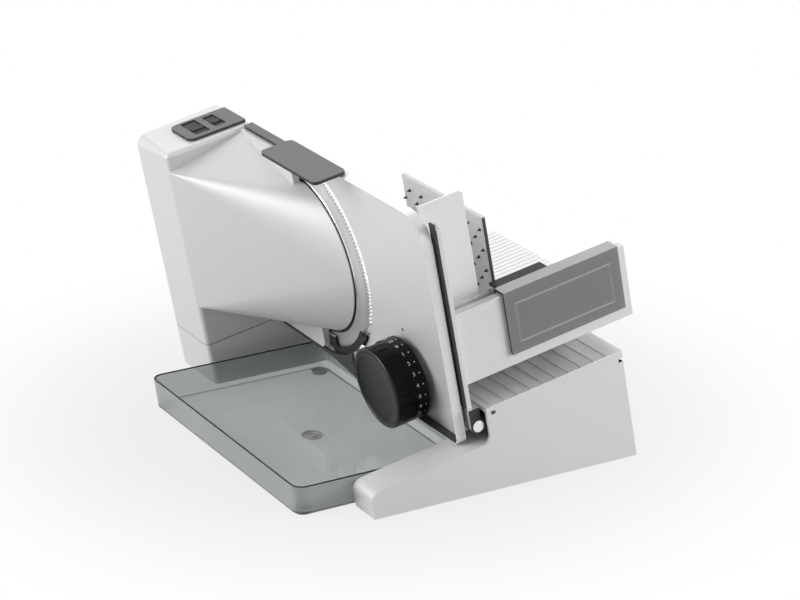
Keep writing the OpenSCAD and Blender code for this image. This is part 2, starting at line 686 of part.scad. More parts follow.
module gear_plate() color([0.6, 0.61, 0.62]) leaning()
  along_x(gear_plate_x, gear_plate_x + gear_plate_t) gear_plate_plan();
module plate_posts() color([0.6, 0.6, 0.6]) leaning() {
  for (p = well_post_places) rod_along_x(post_r, gear_plate_x + gear_plate_t, well_x, p[0], p[1], small_fn);
  for (p = tower_post_places)
    rod_along_x(post_r, gear_plate_x + gear_plate_t, housing_right_x - shell_wall, p[0], p[1], small_fn);
}
hub_r = 15;
module blade_axle() color([0.75, 0.75, 0.76]) leaning() {
  rod_along_x(axle_r, gear_plate_x, blade_face_x - slide_gap, blade_y, blade_z);
  rod_along_x(axle_r + bush_wall, gear_plate_x - bush_wall, gear_plate_x, blade_y, blade_z);
}
module idler_bush() color([0.7, 0.6, 0.35]) leaning() difference() {
  rod_along_x(idler_shaft_r + bush_wall, gear_plate_x, gear_plate_x + gear_plate_t, idler_y, blade_z);
  rod_along_x(idler_shaft_r + run_gap, gear_plate_x - over, gear_plate_x + gear_plate_t + over, idler_y, blade_z);
}
module motor_bearing() color([0.7, 0.6, 0.35]) leaning() difference() {
  rod_along_x(shaft_r + bush_wall, gear_plate_x, gear_plate_x + gear_plate_t, motor_y, blade_z);
  rod_along_x(shaft_r + run_gap, gear_plate_x - over, gear_plate_x + gear_plate_t + over, motor_y, blade_z);
}

// Motor: can, laminated stator, two brackets and the turning parts
can_t = 1.5;
stator_inner_r = 16.6;
air_gap = 0.7;
armature_l = 20;
rotor_clear = 2;
module motor_can() color([0.5, 0.5, 0.52]) leaning() difference() {
  rod_along_x(motor_d / 2, motor_left_x, bracket_x, motor_y, blade_z);
  rod_along_x(motor_d / 2 - can_t, motor_left_x - over, bracket_x + over, motor_y, blade_z);
}
module motor_stator() color([0.35, 0.33, 0.32]) leaning() difference() {
  rod_along_x(motor_d / 2 - can_t, bracket_x - armature_l - rotor_clear, bracket_x - rotor_clear, motor_y, blade_z);
  rod_along_x(stator_inner_r, motor_left_x - over, bracket_x + over, motor_y, blade_z);
}
module motor_brackets() color([0.55, 0.56, 0.57]) leaning() {
  difference() {
    along_x(bracket_x, bracket_x + bracket_t) difference() {
      union() {
        translate([motor_y, blade_z]) circle(r = motor_d / 2, $fn = rim_fn);
        translate([idler_y, blade_z]) circle(r = idler_shaft_r + 2 * bush_wall, $fn = rim_fn);
        polygon([[idler_y, blade_z - idler_shaft_r - 2 * bush_wall], [motor_y, blade_z - motor_d / 2 + bracket_t],
                 [motor_y, blade_z + motor_d / 2 - bracket_t], [idler_y, blade_z + idler_shaft_r + 2 * bush_wall]]);
      }
      translate([idler_y, blade_z]) circle(r = idler_shaft_r + run_gap, $fn = rim_fn);
      translate([motor_y, blade_z]) circle(r = shaft_r + run_gap, $fn = rim_fn);
    }
  }
  difference() {
    rod_along_x(motor_d / 2, motor_left_x - bracket_t, motor_left_x, motor_y, blade_z);
    rod_along_x(shaft_r + run_gap, motor_left_x - bracket_t - over, motor_left_x + over, motor_y, blade_z);
  }
  for (side = [-1, 1])
    rod_along_x(post_r / 2, bracket_x + bracket_t, gear_plate_x, motor_y + motor_d / 2 - post_r,
                blade_z + side * 2 * post_r, small_fn);
}
module motor_shaft() color([0.75, 0.75, 0.76]) leaning()
  rod_along_x(shaft_r, motor_left_x - bracket_t, gear_plate_x + gear_plate_t, motor_y, blade_z);
module armature() color([0.55, 0.3, 0.15]) leaning() difference() {
  rod_along_x(stator_inner_r - air_gap, bracket_x - armature_l - rotor_clear, bracket_x - rotor_clear, motor_y, blade_z);
  rod_along_x(shaft_r, motor_left_x, bracket_x, motor_y, blade_z);
}
module commutator() color([0.7, 0.42, 0.25]) leaning() difference() {
  rod_along_x(stator_inner_r / 2, motor_left_x + rotor_clear, bracket_x - armature_l - rotor_clear, motor_y, blade_z);
  rod_along_x(shaft_r, motor_left_x, bracket_x, motor_y, blade_z);
}
module motor_pinion() color([0.7, 0.7, 0.7]) leaning() difference() {
  along_x(large_left_x, large_right_x) translate([motor_y, blade_z]) rotate(180 / pinion_teeth)
    polygon(gear_points(pinion_teeth, motor_module));
  rod_along_x(shaft_r, bracket_x, gear_plate_x, motor_y, blade_z);
}
web_holes = 6;
module idler_gear() color([0.85, 0.83, 0.76]) leaning() difference() {
  union() {
    along_x(large_left_x, large_right_x) translate([idler_y, blade_z])
      polygon(gear_points(idler_large_teeth, motor_module));
    rod_along_x(idler_shaft_r, bracket_x, ring_left_x, idler_y, blade_z);
    rod_along_x(idler_shaft_r + bush_wall, gear_plate_x + gear_plate_t + seam_gap, ring_left_x, idler_y, blade_z);
    along_x(ring_left_x, ring_right_x - seam_gap) translate([idler_y, blade_z])
      rotate(180 / idler_small_teeth) polygon(gear_points(idler_small_teeth, blade_module));
  }
  for (i = [0:web_holes - 1])
    rod_along_x(idler_shaft_r * 0.8, large_left_x - over, large_right_x + over,
                idler_y + 3.2 * idler_shaft_r * cos(i * 360 / web_holes),
                blade_z + 3.2 * idler_shaft_r * sin(i * 360 / web_holes), small_fn);
}

// Blade group: ground blade, steel hub, moulded ring gear and the lock on the food side
tooth_count = round(PI * blade_d / tooth_pitch);
lock_r = 14;
lock_t = 2.4;
lock_neck_r = 9;
slot_w = 3;
rivet_r = 2;
rivet_count = 5;
module blade() color([0.75, 0.75, 0.76]) leaning() translate([blade_face_x, blade_y, blade_z]) rotate([0, -90, 0])
  difference() {
    intersection() {
      rotate_extrude($fn = 2 * rim_fn) polygon([
        [axle_r + slide_gap, 0], [blade_d / 2 + over, 0], [blade_d / 2 + over, blade_t / 6],
        [blade_d / 2 - bevel_w, blade_t], [axle_r + slide_gap, blade_t]]);
      translate([0, 0, -over]) linear_extrude(blade_t + 2 * over) polygon([
        for (i = [0:2 * tooth_count - 1]) polar(blade_d / 2 - (i % 2) * tooth_depth, 180 * i / tooth_count)]);
    }
  }
module blade_hub() color([0.7, 0.7, 0.7]) leaning() difference() {
  union() {
    rod_along_x(hub_r, hub_left_x, blade_back_x, blade_y, blade_z);
    rod_along_x(hub_r + bevel_w, ring_right_x, blade_back_x, blade_y, blade_z);
  }
  rod_along_x(axle_r + run_gap, hub_left_x - over, food_x, blade_y, blade_z);
}
module blade_gear() color([0.85, 0.83, 0.76]) leaning() difference() {
  along_x(ring_left_x, ring_right_x) translate([blade_y, blade_z]) polygon(gear_points(ring_teeth, blade_module));
  rod_along_x(ring_pitch_r - 3 * ring_web_t, ring_left_x - over, ring_right_x - ring_web_t, blade_y, blade_z);
  rod_along_x(hub_r, ring_left_x - over, ring_right_x + over, blade_y, blade_z);
}
module blade_lock() color([0.7, 0.7, 0.71]) leaning() difference() {
  rod_along_x(lock_r, blade_face_x + seam_gap / 3, blade_face_x + seam_gap / 3 + lock_t, blade_y, blade_z);
  for (side = [0, 90]) translate([blade_face_x + lock_t / 2, blade_y, blade_z]) rotate([side, 0, 0])
    block([0, -slot_w / 2, -lock_neck_r], [lock_t, slot_w / 2, lock_neck_r]);
}

// Stop plate: a pressed pan, open to the left, cut round to the blade
cut_r = blade_d / 2 + 2;
plate_low_back_y = 142;
plate_high_back_y = 176;
plate_corner_low_r = 6;
slot_gap = 1;
finger_drop = 18;
finger_h = 5;
finger_z = dial_z - finger_drop;
slot_top_z = finger_z + finger_h / 2 + 2 * slot_gap;
module plate_shape(inset, far) {
  polygon(rounded_path(
    [[plate_front_y + inset, plate_low_z + inset], [plate_low_back_y + far, plate_low_z + inset],
     [plate_low_back_y + far, blade_z], [plate_high_back_y + far, blade_z],
     [plate_high_back_y + far, plate_top_z - inset], [plate_front_y + inset, plate_top_z - inset]],
    [plate_corner_low_r - inset, 0, 0, 0, 0, plate_corner_r - inset]));
}
module stop_plate() color([0.78, 0.78, 0.78]) leaning() difference() {
  along_x(food_x - plate_rim, food_x) plate_shape(0, 0);
  along_x(food_x - plate_rim - over, food_x - sheet_t) plate_shape(sheet_t, 2 * sheet_t);
  rod_along_x(cut_r, food_x - 2 * plate_rim, food_x + over, blade_y, blade_z);
  rod_along_x(dial_axle_r, food_x - plate_rim, food_x + over, dial_y, dial_z);
  block([food_x - plate_rim - over, arm_y - slot_gap, plate_low_z - over],
        [food_x + over, arm_y + arm_w + slot_gap, slot_top_z]);
}

// Carrier under the plate with its two guide pins
carrier_t = 2.5;
carrier_low_z = pin_z - 1.5 * pin_r;
carrier_top_z = pin_z + 5 * pin_r;
module plate_carrier() color([0.5, 0.5, 0.52]) leaning() difference() {
  union() {
    block([food_x - sheet_t - carrier_t, pin_near_y - 2 * pin_r, plate_low_z + sheet_t],
          [food_x - sheet_t, pin_far_y + 2 * pin_r, carrier_top_z]);
    block([food_x - plate_rim, pin_near_y - 2 * pin_r, carrier_low_z],
          [food_x, pin_far_y + 2 * pin_r, plate_low_z]);
  }
  for (y = pin_ys) rod_along_x(pin_r, food_x - 2 * plate_rim, food_x + over, y, pin_z);
}
pin_l = channel_x + bush_l + pin_r - food_x + plate_travel;
module plate_pins() color([0.75, 0.75, 0.76]) leaning() for (y = pin_ys)
  rod_along_x(pin_r, food_x - plate_rim, food_x + pin_l, y, pin_z);

// Dial on a pin fixed flush in the plate. A peg fixed to the base runs in the helical groove of
// the dial's drum, so turning the dial carries the dial and the plate along the pin's axis.
dial_axle_r = 5;
arm_t = 3.4;
arm_upright_x = food_x - sheet_t - arm_t - 3 * slide_gap;
dial_rear_x = arm_upright_x - slide_gap * 1.2;
dial_front_x = dial_rear_x - dial_l;
dial_wall = 3;
dish_depth = 3.5;
dish_rim = 4;
edge_r = 2.5;
cavity_x = dial_front_x + dish_depth + dial_wall;
peg_r = 2;
groove_w = 2 * peg_r + 0.25 * peg_r;
drum_r = 14;
drum_core_r = 10.4;
drum_end = 0.6;
drum_right_x = food_x - sheet_t - slide_gap;
peg_x = cavity_x + drum_end + groove_w / 2;
turn_per_mm = dial_turn / plate_travel;
finger_y = arm_y + arm_w / 2;
peg_angle = atan2(finger_z - dial_z, finger_y - dial_y);
peg_reach = norm([finger_y - dial_y, finger_z - dial_z]);
grip_count = 5;
grip_w = 20;
grip_l = 13;
grip_depth = 1.6;
grip_from = 1.6 * edge_r;
grip_phase = 4;
module dial_axle() color([0.75, 0.75, 0.76]) leaning()
  rod_along_x(dial_axle_r, cavity_x + slide_gap, food_x, dial_y, dial_z);
module dial() color([0.09, 0.09, 0.09]) leaning() translate([dial_front_x, dial_y, dial_z]) rotate([0, 90, 0]) difference() {
  rotate_extrude($fn = rim_fn) polygon(concat(
    [[0, cavity_x - dial_front_x], [0, dish_depth]],
    [for (i = [1:8]) [(dial_d / 2 - dish_rim) * sin(i * 11.25), dish_depth * cos(i * 11.25)]],
    [for (i = [0:6]) [dial_d / 2 - edge_r + edge_r * sin(i * 15), edge_r - edge_r * cos(i * 15)]],
    [[dial_d / 2, dial_l], [dial_d / 2 - dial_wall, dial_l], [dial_d / 2 - dial_wall, cavity_x - dial_front_x]]));
  for (i = [0:grip_count - 1]) rotate(grip_phase + i * 360 / grip_count)
    block([dial_d / 2 - grip_depth, -grip_w / 2, grip_from], [dial_d / 2 + over, grip_w / 2, grip_from + grip_l]);
}
groove_steps = 64;
module dial_cam() color([0.75, 0.74, 0.7]) leaning() difference() {
  union() {
    rod_along_x(drum_core_r, cavity_x, drum_right_x, dial_y, dial_z);
    difference() {
      rod_along_x(drum_r, cavity_x, drum_right_x, dial_y, dial_z);
      translate([peg_x - groove_w / 2, dial_y, dial_z]) rotate([90, 0, 90])
        linear_extrude(height = plate_travel + groove_w, twist = -(plate_travel + groove_w) * turn_per_mm,
                       slices = groove_steps)
        polygon(concat([[0, 0]], [for (i = [0:8])
          polar(drum_r + over, peg_angle - groove_w * turn_per_mm * (1 - i / 8))]));
    }
  }
  rod_along_x(dial_axle_r + run_gap, cavity_x - over, drum_right_x + over, dial_y, dial_z);
}
module cam_arm() color([0.6, 0.6, 0.62]) leaning() {
  block([arm_upright_x, arm_y, arm_low_z], [channel_x + base_wall, arm_y + arm_w, arm_low_z + arm_h]);
  block([arm_upright_x, arm_y, arm_low_z], [arm_upright_x + arm_t, arm_y + arm_w, finger_z + finger_h / 2]);
  block([peg_x - finger_h / 2, arm_y, finger_z - finger_h / 2],
        [arm_upright_x + arm_t, arm_y + arm_w, finger_z + finger_h / 2]);
  translate([peg_x, dial_y, dial_z]) rotate([peg_angle, 0, 0])
    rod_along_y(peg_r, drum_core_r + run_gap * 4, peg_reach, 0, 0, small_fn);
}

// Carriage: hollow front wall, ribbed platform, tall guard, shoe on the rod and runners on the deck
wall_sheet = 1.5;
ledge_w = 8;
rail_groove_w = 8;
rail_groove_depth = 7;
strip_proud = 7;
strip_front_y = carriage_front_y - strip_proud;
glide_t = 1.8;
strip_w = 4.1;
strip_top_z = 204;
shoe_top_z = 44;
shoe_r = 6.8;
shoe_l = 56;
shoe_front_y = rail_front_y + slide_gap;
wall_back_y = carriage_front_y + carriage_wall_d;
module carriage_profile() {
  difference() {
    polygon([[carriage_front_y, carriage_low_z], [wall_back_y, carriage_low_z], [wall_back_y, carriage_top_z - wall_sheet],
             [carriage_front_y + ledge_w + rail_groove_w, carriage_top_z - wall_sheet],
             [carriage_front_y + ledge_w + rail_groove_w, carriage_top_z - rail_groove_depth],
             [carriage_front_y + ledge_w, carriage_top_z - rail_groove_depth],
             [carriage_front_y + ledge_w, carriage_top_z], [carriage_front_y, carriage_top_z]]);
    polygon([[carriage_front_y + wall_sheet, carriage_low_z - over], [wall_back_y - wall_sheet, carriage_low_z - over],
             [wall_back_y - wall_sheet, carriage_top_z - rail_groove_depth - wall_sheet],
             [carriage_front_y + ledge_w - wall_sheet, carriage_top_z - rail_groove_depth - wall_sheet],
             [carriage_front_y + ledge_w - wall_sheet, carriage_top_z - wall_sheet],
             [carriage_front_y + wall_sheet, carriage_top_z - wall_sheet]]);
  }
}
module carriage_wall() color([0.8, 0.8, 0.8]) leaning() {
  along_x(carriage_left_x + strip_w, carriage_right_x) carriage_profile();
  along_x(carriage_left_x, carriage_left_x + strip_w) polygon([
    [strip_front_y, shoe_top_z], [carriage_front_y + wall_sheet, shoe_top_z], [wall_back_y, carriage_low_z],
    [wall_back_y, carriage_top_z], [carriage_front_y + wall_sheet, carriage_top_z + ledge_w],
    [carriage_front_y, strip_top_z], [strip_front_y, strip_top_z - strip_w]]);
}
module carriage_glide() color([0.08, 0.08, 0.08]) leaning()
  block([carriage_left_x - glide_t, strip_front_y + wall_sheet / 3, shoe_top_z + wall_sheet],
        [carriage_left_x, carriage_front_y + wall_sheet / 2, strip_top_z + wall_sheet]);
module carriage_platform() color([0.78, 0.78, 0.78]) leaning() {
  rib_h = 0.8;
  ribs = floor((platform_back_y - wall_back_y - 2 * rib_pitch) / rib_pitch);
  along_x(carriage_left_x, carriage_right_x - wall_sheet) polygon(concat(
    [[wall_back_y, platform_z]],
    [for (i = [0:ribs]) let (y = wall_back_y + rib_pitch * (i + 1)) each
      [[y - rib_h, platform_z + wall_sheet], [y - rib_h / 2, platform_z + wall_sheet + rib_h],
       [y + rib_h / 2, platform_z + wall_sheet + rib_h], [y + rib_h, platform_z + wall_sheet]]],
    [[platform_back_y, platform_z + wall_sheet], [platform_back_y, platform_z]]));
  block([carriage_left_x, wall_back_y, shoe_top_z], [carriage_left_x + wall_sheet, shoe_front_y + shoe_l, platform_z]);
}
module tall_guard() color([0.82, 0.82, 0.82]) leaning()
  along_y(wall_back_y, wall_back_y + wall_sheet) polygon(rounded_path(
    [[carriage_left_x, platform_z + 6 * wall_sheet], [guard_right_x, platform_z + 6 * wall_sheet],
     [guard_right_x, guard_top_z], [carriage_left_x, guard_top_z]], [0, 0, strip_w, 0]));
module carriage_shoe() color([0.75, 0.75, 0.76]) leaning() difference() {
  union() {
    block([rod_x - shoe_r, shoe_front_y, rod_z], [rod_x + shoe_r / 2, shoe_front_y + shoe_l, shoe_top_z]);
    rod_along_y(shoe_r, shoe_front_y, shoe_front_y + shoe_l, rod_x, rod_z);
  }
  rod_along_y(rod_r + run_gap, shoe_front_y - over, shoe_front_y + shoe_l + over, rod_x, rod_z);
  block([rod_x, shoe_front_y - over, rod_z - web_h / 2 - slide_gap],
        [rod_x + 2 * shoe_r, shoe_front_y + shoe_l + over, rod_z + web_h / 2 + slide_gap]);
}
runner_inset = 13;
runner_x = deck_right_x - runner_inset;
runner_w = 8;
runner_l = 26;
runner_ys = [56, 160];
module carriage_runners() color([0.15, 0.15, 0.15]) leaning() for (y = runner_ys)
  block([runner_x, y, deck_z + deck_rib_h + seam_gap / 3], [runner_x + runner_w, y + runner_l, platform_z]);

// Remnant holder: cap over the wall, arm and spiked plate
holder_right_x = holder_left_x + holder_l;
holder_gap = 0.5;
holder_top_z = carriage_top_z + holder_gap + holder_wall;
holder_front_y = carriage_front_y - holder_gap - holder_wall;
holder_back_y = carriage_front_y + ledge_w + holder_gap + holder_wall;
arm_right_x = 251;
frame_in = 9;
frame_w = 1;
frame_depth = 0.6;
module frame_ring(inset) {
  block([holder_left_x + frame_in + inset, holder_front_y - over, holder_top_z - holder_h + frame_in + inset],
        [holder_right_x - frame_in - inset, holder_front_y + frame_depth, holder_top_z - frame_in * 1.3 - inset]);
}
module holder_cap() color([0.45, 0.47, 0.48]) leaning() difference() {
  along_x(holder_left_x, holder_right_x) polygon([
    [holder_front_y, holder_top_z - holder_h], [carriage_front_y - holder_gap, holder_top_z - holder_h],
    [carriage_front_y - holder_gap, carriage_top_z + holder_gap],
    [carriage_front_y + ledge_w + holder_gap, carriage_top_z + holder_gap],
    [carriage_front_y + ledge_w + holder_gap, carriage_top_z - rail_groove_depth + 2 * holder_gap],
    [holder_back_y, carriage_top_z - rail_groove_depth + 2 * holder_gap],
    [holder_back_y, holder_top_z], [holder_front_y, holder_top_z]]);
  difference() {
    frame_ring(0);
    frame_ring(frame_w);
  }
}
module holder_arm() color([0.1, 0.1, 0.1]) leaning()
  block([holder_left_x + holder_wall, holder_back_y, carriage_top_z + holder_gap],
        [arm_right_x, wall_back_y + 3 * wall_sheet, holder_top_z]);
spiked_t = 3;
spiked_x = 206;
module spiked_plate() color([0.5, 0.52, 0.53]) leaning() {
  y0 = wall_back_y + 3 * wall_sheet;
  block([spiked_x, y0, platform_z + 4 * wall_sheet], [spiked_x + spiked_t, spike_back_y, spike_top_z]);
  rows = floor((spike_top_z - platform_z - 2 * spike_pitch) / spike_pitch);
  cols = floor((spike_back_y - y0 - spike_pitch / 2) / spike_pitch);
  for (i = [0:rows], j = [0:cols]) if ((i + j) % 2 == 0)
    translate([spiked_x, y0 + spike_pitch * (j + 0.5), platform_z + spike_pitch * (i + 1.5)])
      rotate([0, -90, 0]) cylinder(r1 = spike_h / 2, r2 = spike_h / 16, h = spike_h, $fn = 4);
}

// Tray, drafted, with a raised gate ring and four foot dimples
tray_floor_t = 1.8;
foot_ring_r = 7;
tray_ring_r = 9;
module tray_form(inset, low, high) {
  share = (tray_h - low) / tray_h;
  hull() for (level = [[low, tray_draft * share], [high, tray_draft * (tray_h - high) / tray_h]])
    translate([0, 0, level[0]]) linear_extrude(sliver)
      rounded_box([inset + level[1], inset + level[1]], [tray_w - inset - level[1], tray_d - inset - level[1]],
                  tray_corner_r - inset);
}
tray_feet = [for (x = [tray_draft + foot_ring_r + tray_wall, tray_w - tray_draft - foot_ring_r - tray_wall],
                 y = [tray_draft + foot_ring_r + tray_wall, tray_d - tray_draft - foot_ring_r - tray_wall]) [x, y]];
module tray() color([0.55, 0.57, 0.58, 0.7]) standing() translate([tray_left_x, 0, 0]) {
  difference() {
    tray_form(0, base_lift, tray_h);
    tray_form(tray_wall, base_lift + tray_floor_t, tray_h + over);
    for (p = tray_feet) translate([p[0], p[1], base_lift + tray_floor_t / 2])
      cylinder(r = foot_ring_r - tray_floor_t, h = tray_h, $fn = small_fn);
  }
  for (p = tray_feet) translate([p[0], p[1], 0]) cylinder(r = foot_ring_r, h = base_lift + tray_floor_t / 4, $fn = small_fn);
  translate([tray_w / 2, tray_d / 2, base_lift + tray_floor_t / 2]) difference() {
    cylinder(r = tray_ring_r, h = tray_floor_t, $fn = small_fn);
    translate([0, 0, tray_floor_t / 2]) cylinder(r = tray_ring_r - tray_floor_t, h = tray_floor_t, $fn = small_fn);
  }
}

// Screws of the base cover and of the rear cover
rear_screw_places = [for (x = [tower_left_x + 2 * rear_open_margin, housing_right_x - 2 * rear_open_margin],
                         z = [seam_z + 2 * rear_open_margin, tower_top_z - 3 * rear_open_margin]) [x, z]];
module housing_screws() color([0.6, 0.6, 0.6]) {
  standing() for (p = screw_places) translate([p[0], p[1], base_lift - screw_head_t]) {
    cylinder(r = screw_head_r, h = screw_head_t, $fn = small_fn);
    cylinder(r = screw_r, h = screw_l - base_lift, $fn = small_fn);
  }
  leaning() for (p = rear_screw_places) {
    rod_along_y(screw_head_r, tower_back_y - shell_wall, tower_back_y - shell_wall / 2, p[0], p[1], small_fn);
    rod_along_y(screw_r, tower_back_y - 2 * shell_wall - screw_head_t, tower_back_y - shell_wall, p[0], p[1], small_fn);
  }
}

base_housing();
base_cover();
rubber_feet();
deck_plate();
guide_rail();
guide_rod();
pin_bushes();
cord_gland();
motor_housing();
rear_cover();
switch_panel();
guard_cap();
guard_strip();
lower_blade_guard();
slice_deflector();
gear_plate();
plate_posts();
blade_axle();
idler_bush();
motor_bearing();
motor_can();
motor_stator();
motor_brackets();
switch_block();
housing_screws();
blade();
blade_hub();
blade_gear();
blade_lock();
idler_gear();
motor_shaft();
armature();
commutator();
motor_pinion();
stop_plate();
plate_carrier();
plate_pins();
dial_axle();
dial();
dial_cam();
cam_arm();
carriage_wall();
carriage_glide();
carriage_platform();
tall_guard();
carriage_shoe();
carriage_runners();
holder_cap();
holder_arm();
spiked_plate();
on_button();
lock_button();
tray();
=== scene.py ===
"""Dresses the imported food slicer: softened edges, printed marks, finishes, studio and camera."""
from __future__ import annotations

import json
import logging
import math
from dataclasses import dataclass, field, replace
from enum import Enum
from typing import Callable

import bpy
from mathutils import Matrix, Vector

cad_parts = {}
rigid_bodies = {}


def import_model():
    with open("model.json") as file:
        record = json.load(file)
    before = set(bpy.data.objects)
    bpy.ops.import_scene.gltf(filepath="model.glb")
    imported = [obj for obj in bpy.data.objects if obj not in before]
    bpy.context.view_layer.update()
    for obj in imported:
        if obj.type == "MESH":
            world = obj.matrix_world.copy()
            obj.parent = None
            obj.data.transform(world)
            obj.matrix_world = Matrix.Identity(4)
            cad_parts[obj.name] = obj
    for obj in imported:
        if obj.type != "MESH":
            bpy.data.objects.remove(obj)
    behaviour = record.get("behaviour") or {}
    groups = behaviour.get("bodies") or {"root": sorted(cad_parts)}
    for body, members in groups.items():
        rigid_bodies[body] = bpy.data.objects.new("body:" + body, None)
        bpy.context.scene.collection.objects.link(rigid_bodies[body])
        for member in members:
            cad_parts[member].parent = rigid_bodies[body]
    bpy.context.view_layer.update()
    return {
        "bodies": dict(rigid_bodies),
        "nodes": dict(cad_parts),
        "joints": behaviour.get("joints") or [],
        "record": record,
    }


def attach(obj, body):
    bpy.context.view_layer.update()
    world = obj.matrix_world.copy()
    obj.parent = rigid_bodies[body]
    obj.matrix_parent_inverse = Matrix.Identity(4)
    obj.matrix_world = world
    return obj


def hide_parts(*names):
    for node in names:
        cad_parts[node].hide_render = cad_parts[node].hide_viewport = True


LOG = logging.getLogger("slicer")
MM = 0.001
LEAN = math.radians(10.7)
ORIGIN = Vector((149.646, 153.0, 0.0)) * MM

# From the machine's own millimetres into the shared frame: for what leans with it, and for the tray.
LEANING = Matrix.Translation(-ORIGIN) @ Matrix.Rotation(-LEAN, 4, "Y")
STANDING = Matrix.Translation(-ORIGIN)
BLADE_CENTRE = Vector((144.0, 193.0, 112.0))

SMOOTH_ANGLE = math.radians(32)
ROUND_ANGLE = math.radians(35)
FLAT_ANGLE = math.radians(0.4)
MERGE_GAP = 2e-6
SPIN_GAP = 1e-6
PRINT_LIFT = 0.06

# How much of a face's normal runs along an axis: nearly all of it, and half.
FACING = 0.9
SIDEWAYS = 0.5

Triple = tuple[float, float, float]
Pair = tuple[float, float]
Sizes = tuple[float, float, float, float]
Outline = list[Triple]
FaceTest = Callable[[Vector, Vector], bool]
Constants = dict[str | int, object]
Piece = bpy.types.Object
Node = bpy.types.Node
Socket = bpy.types.NodeSocket


class Slot(Enum):
    """Material slots of the record."""

    CAST = "cast"
    STEEL = "steel"
    BRIGHT = "bright"
    GREY_PLASTIC = "grey_plastic"
    BLACK_PLASTIC = "black_plastic"
    BLACK_GLOSS = "black_gloss"
    SMOKE = "smoke"
    RUBBER = "rubber"
    BRASS = "brass"
    ALUMINIUM = "aluminium"
    GEAR_PLASTIC = "gear_plastic"
    IRON = "iron"
    WINDING = "winding"


class Grain(Enum):
    """Ways in which a surface is textured."""

    FINE = "fine"
    BRUSHED_ALONG = "brushed along the depth"
    BRUSHED_ACROSS = "brushed across"
    TURNED = "turned about the blade axis"


def circle(x: float, y: float, level: float, radius: float, step: int = 10) -> Outline:
    """A round outline.

    Args:
        x: centre across the machine.
        y: centre along it.
        level: height of the outline.
        radius: its radius.
        step: degrees between its points.

    Returns:
        Its points, anticlockwise, in millimetres.
    """
    turns = [math.radians(turn) for turn in range(0, 360, step)]
    return [(x + radius * math.cos(turn), y + radius * math.sin(turn), level) for turn in turns]


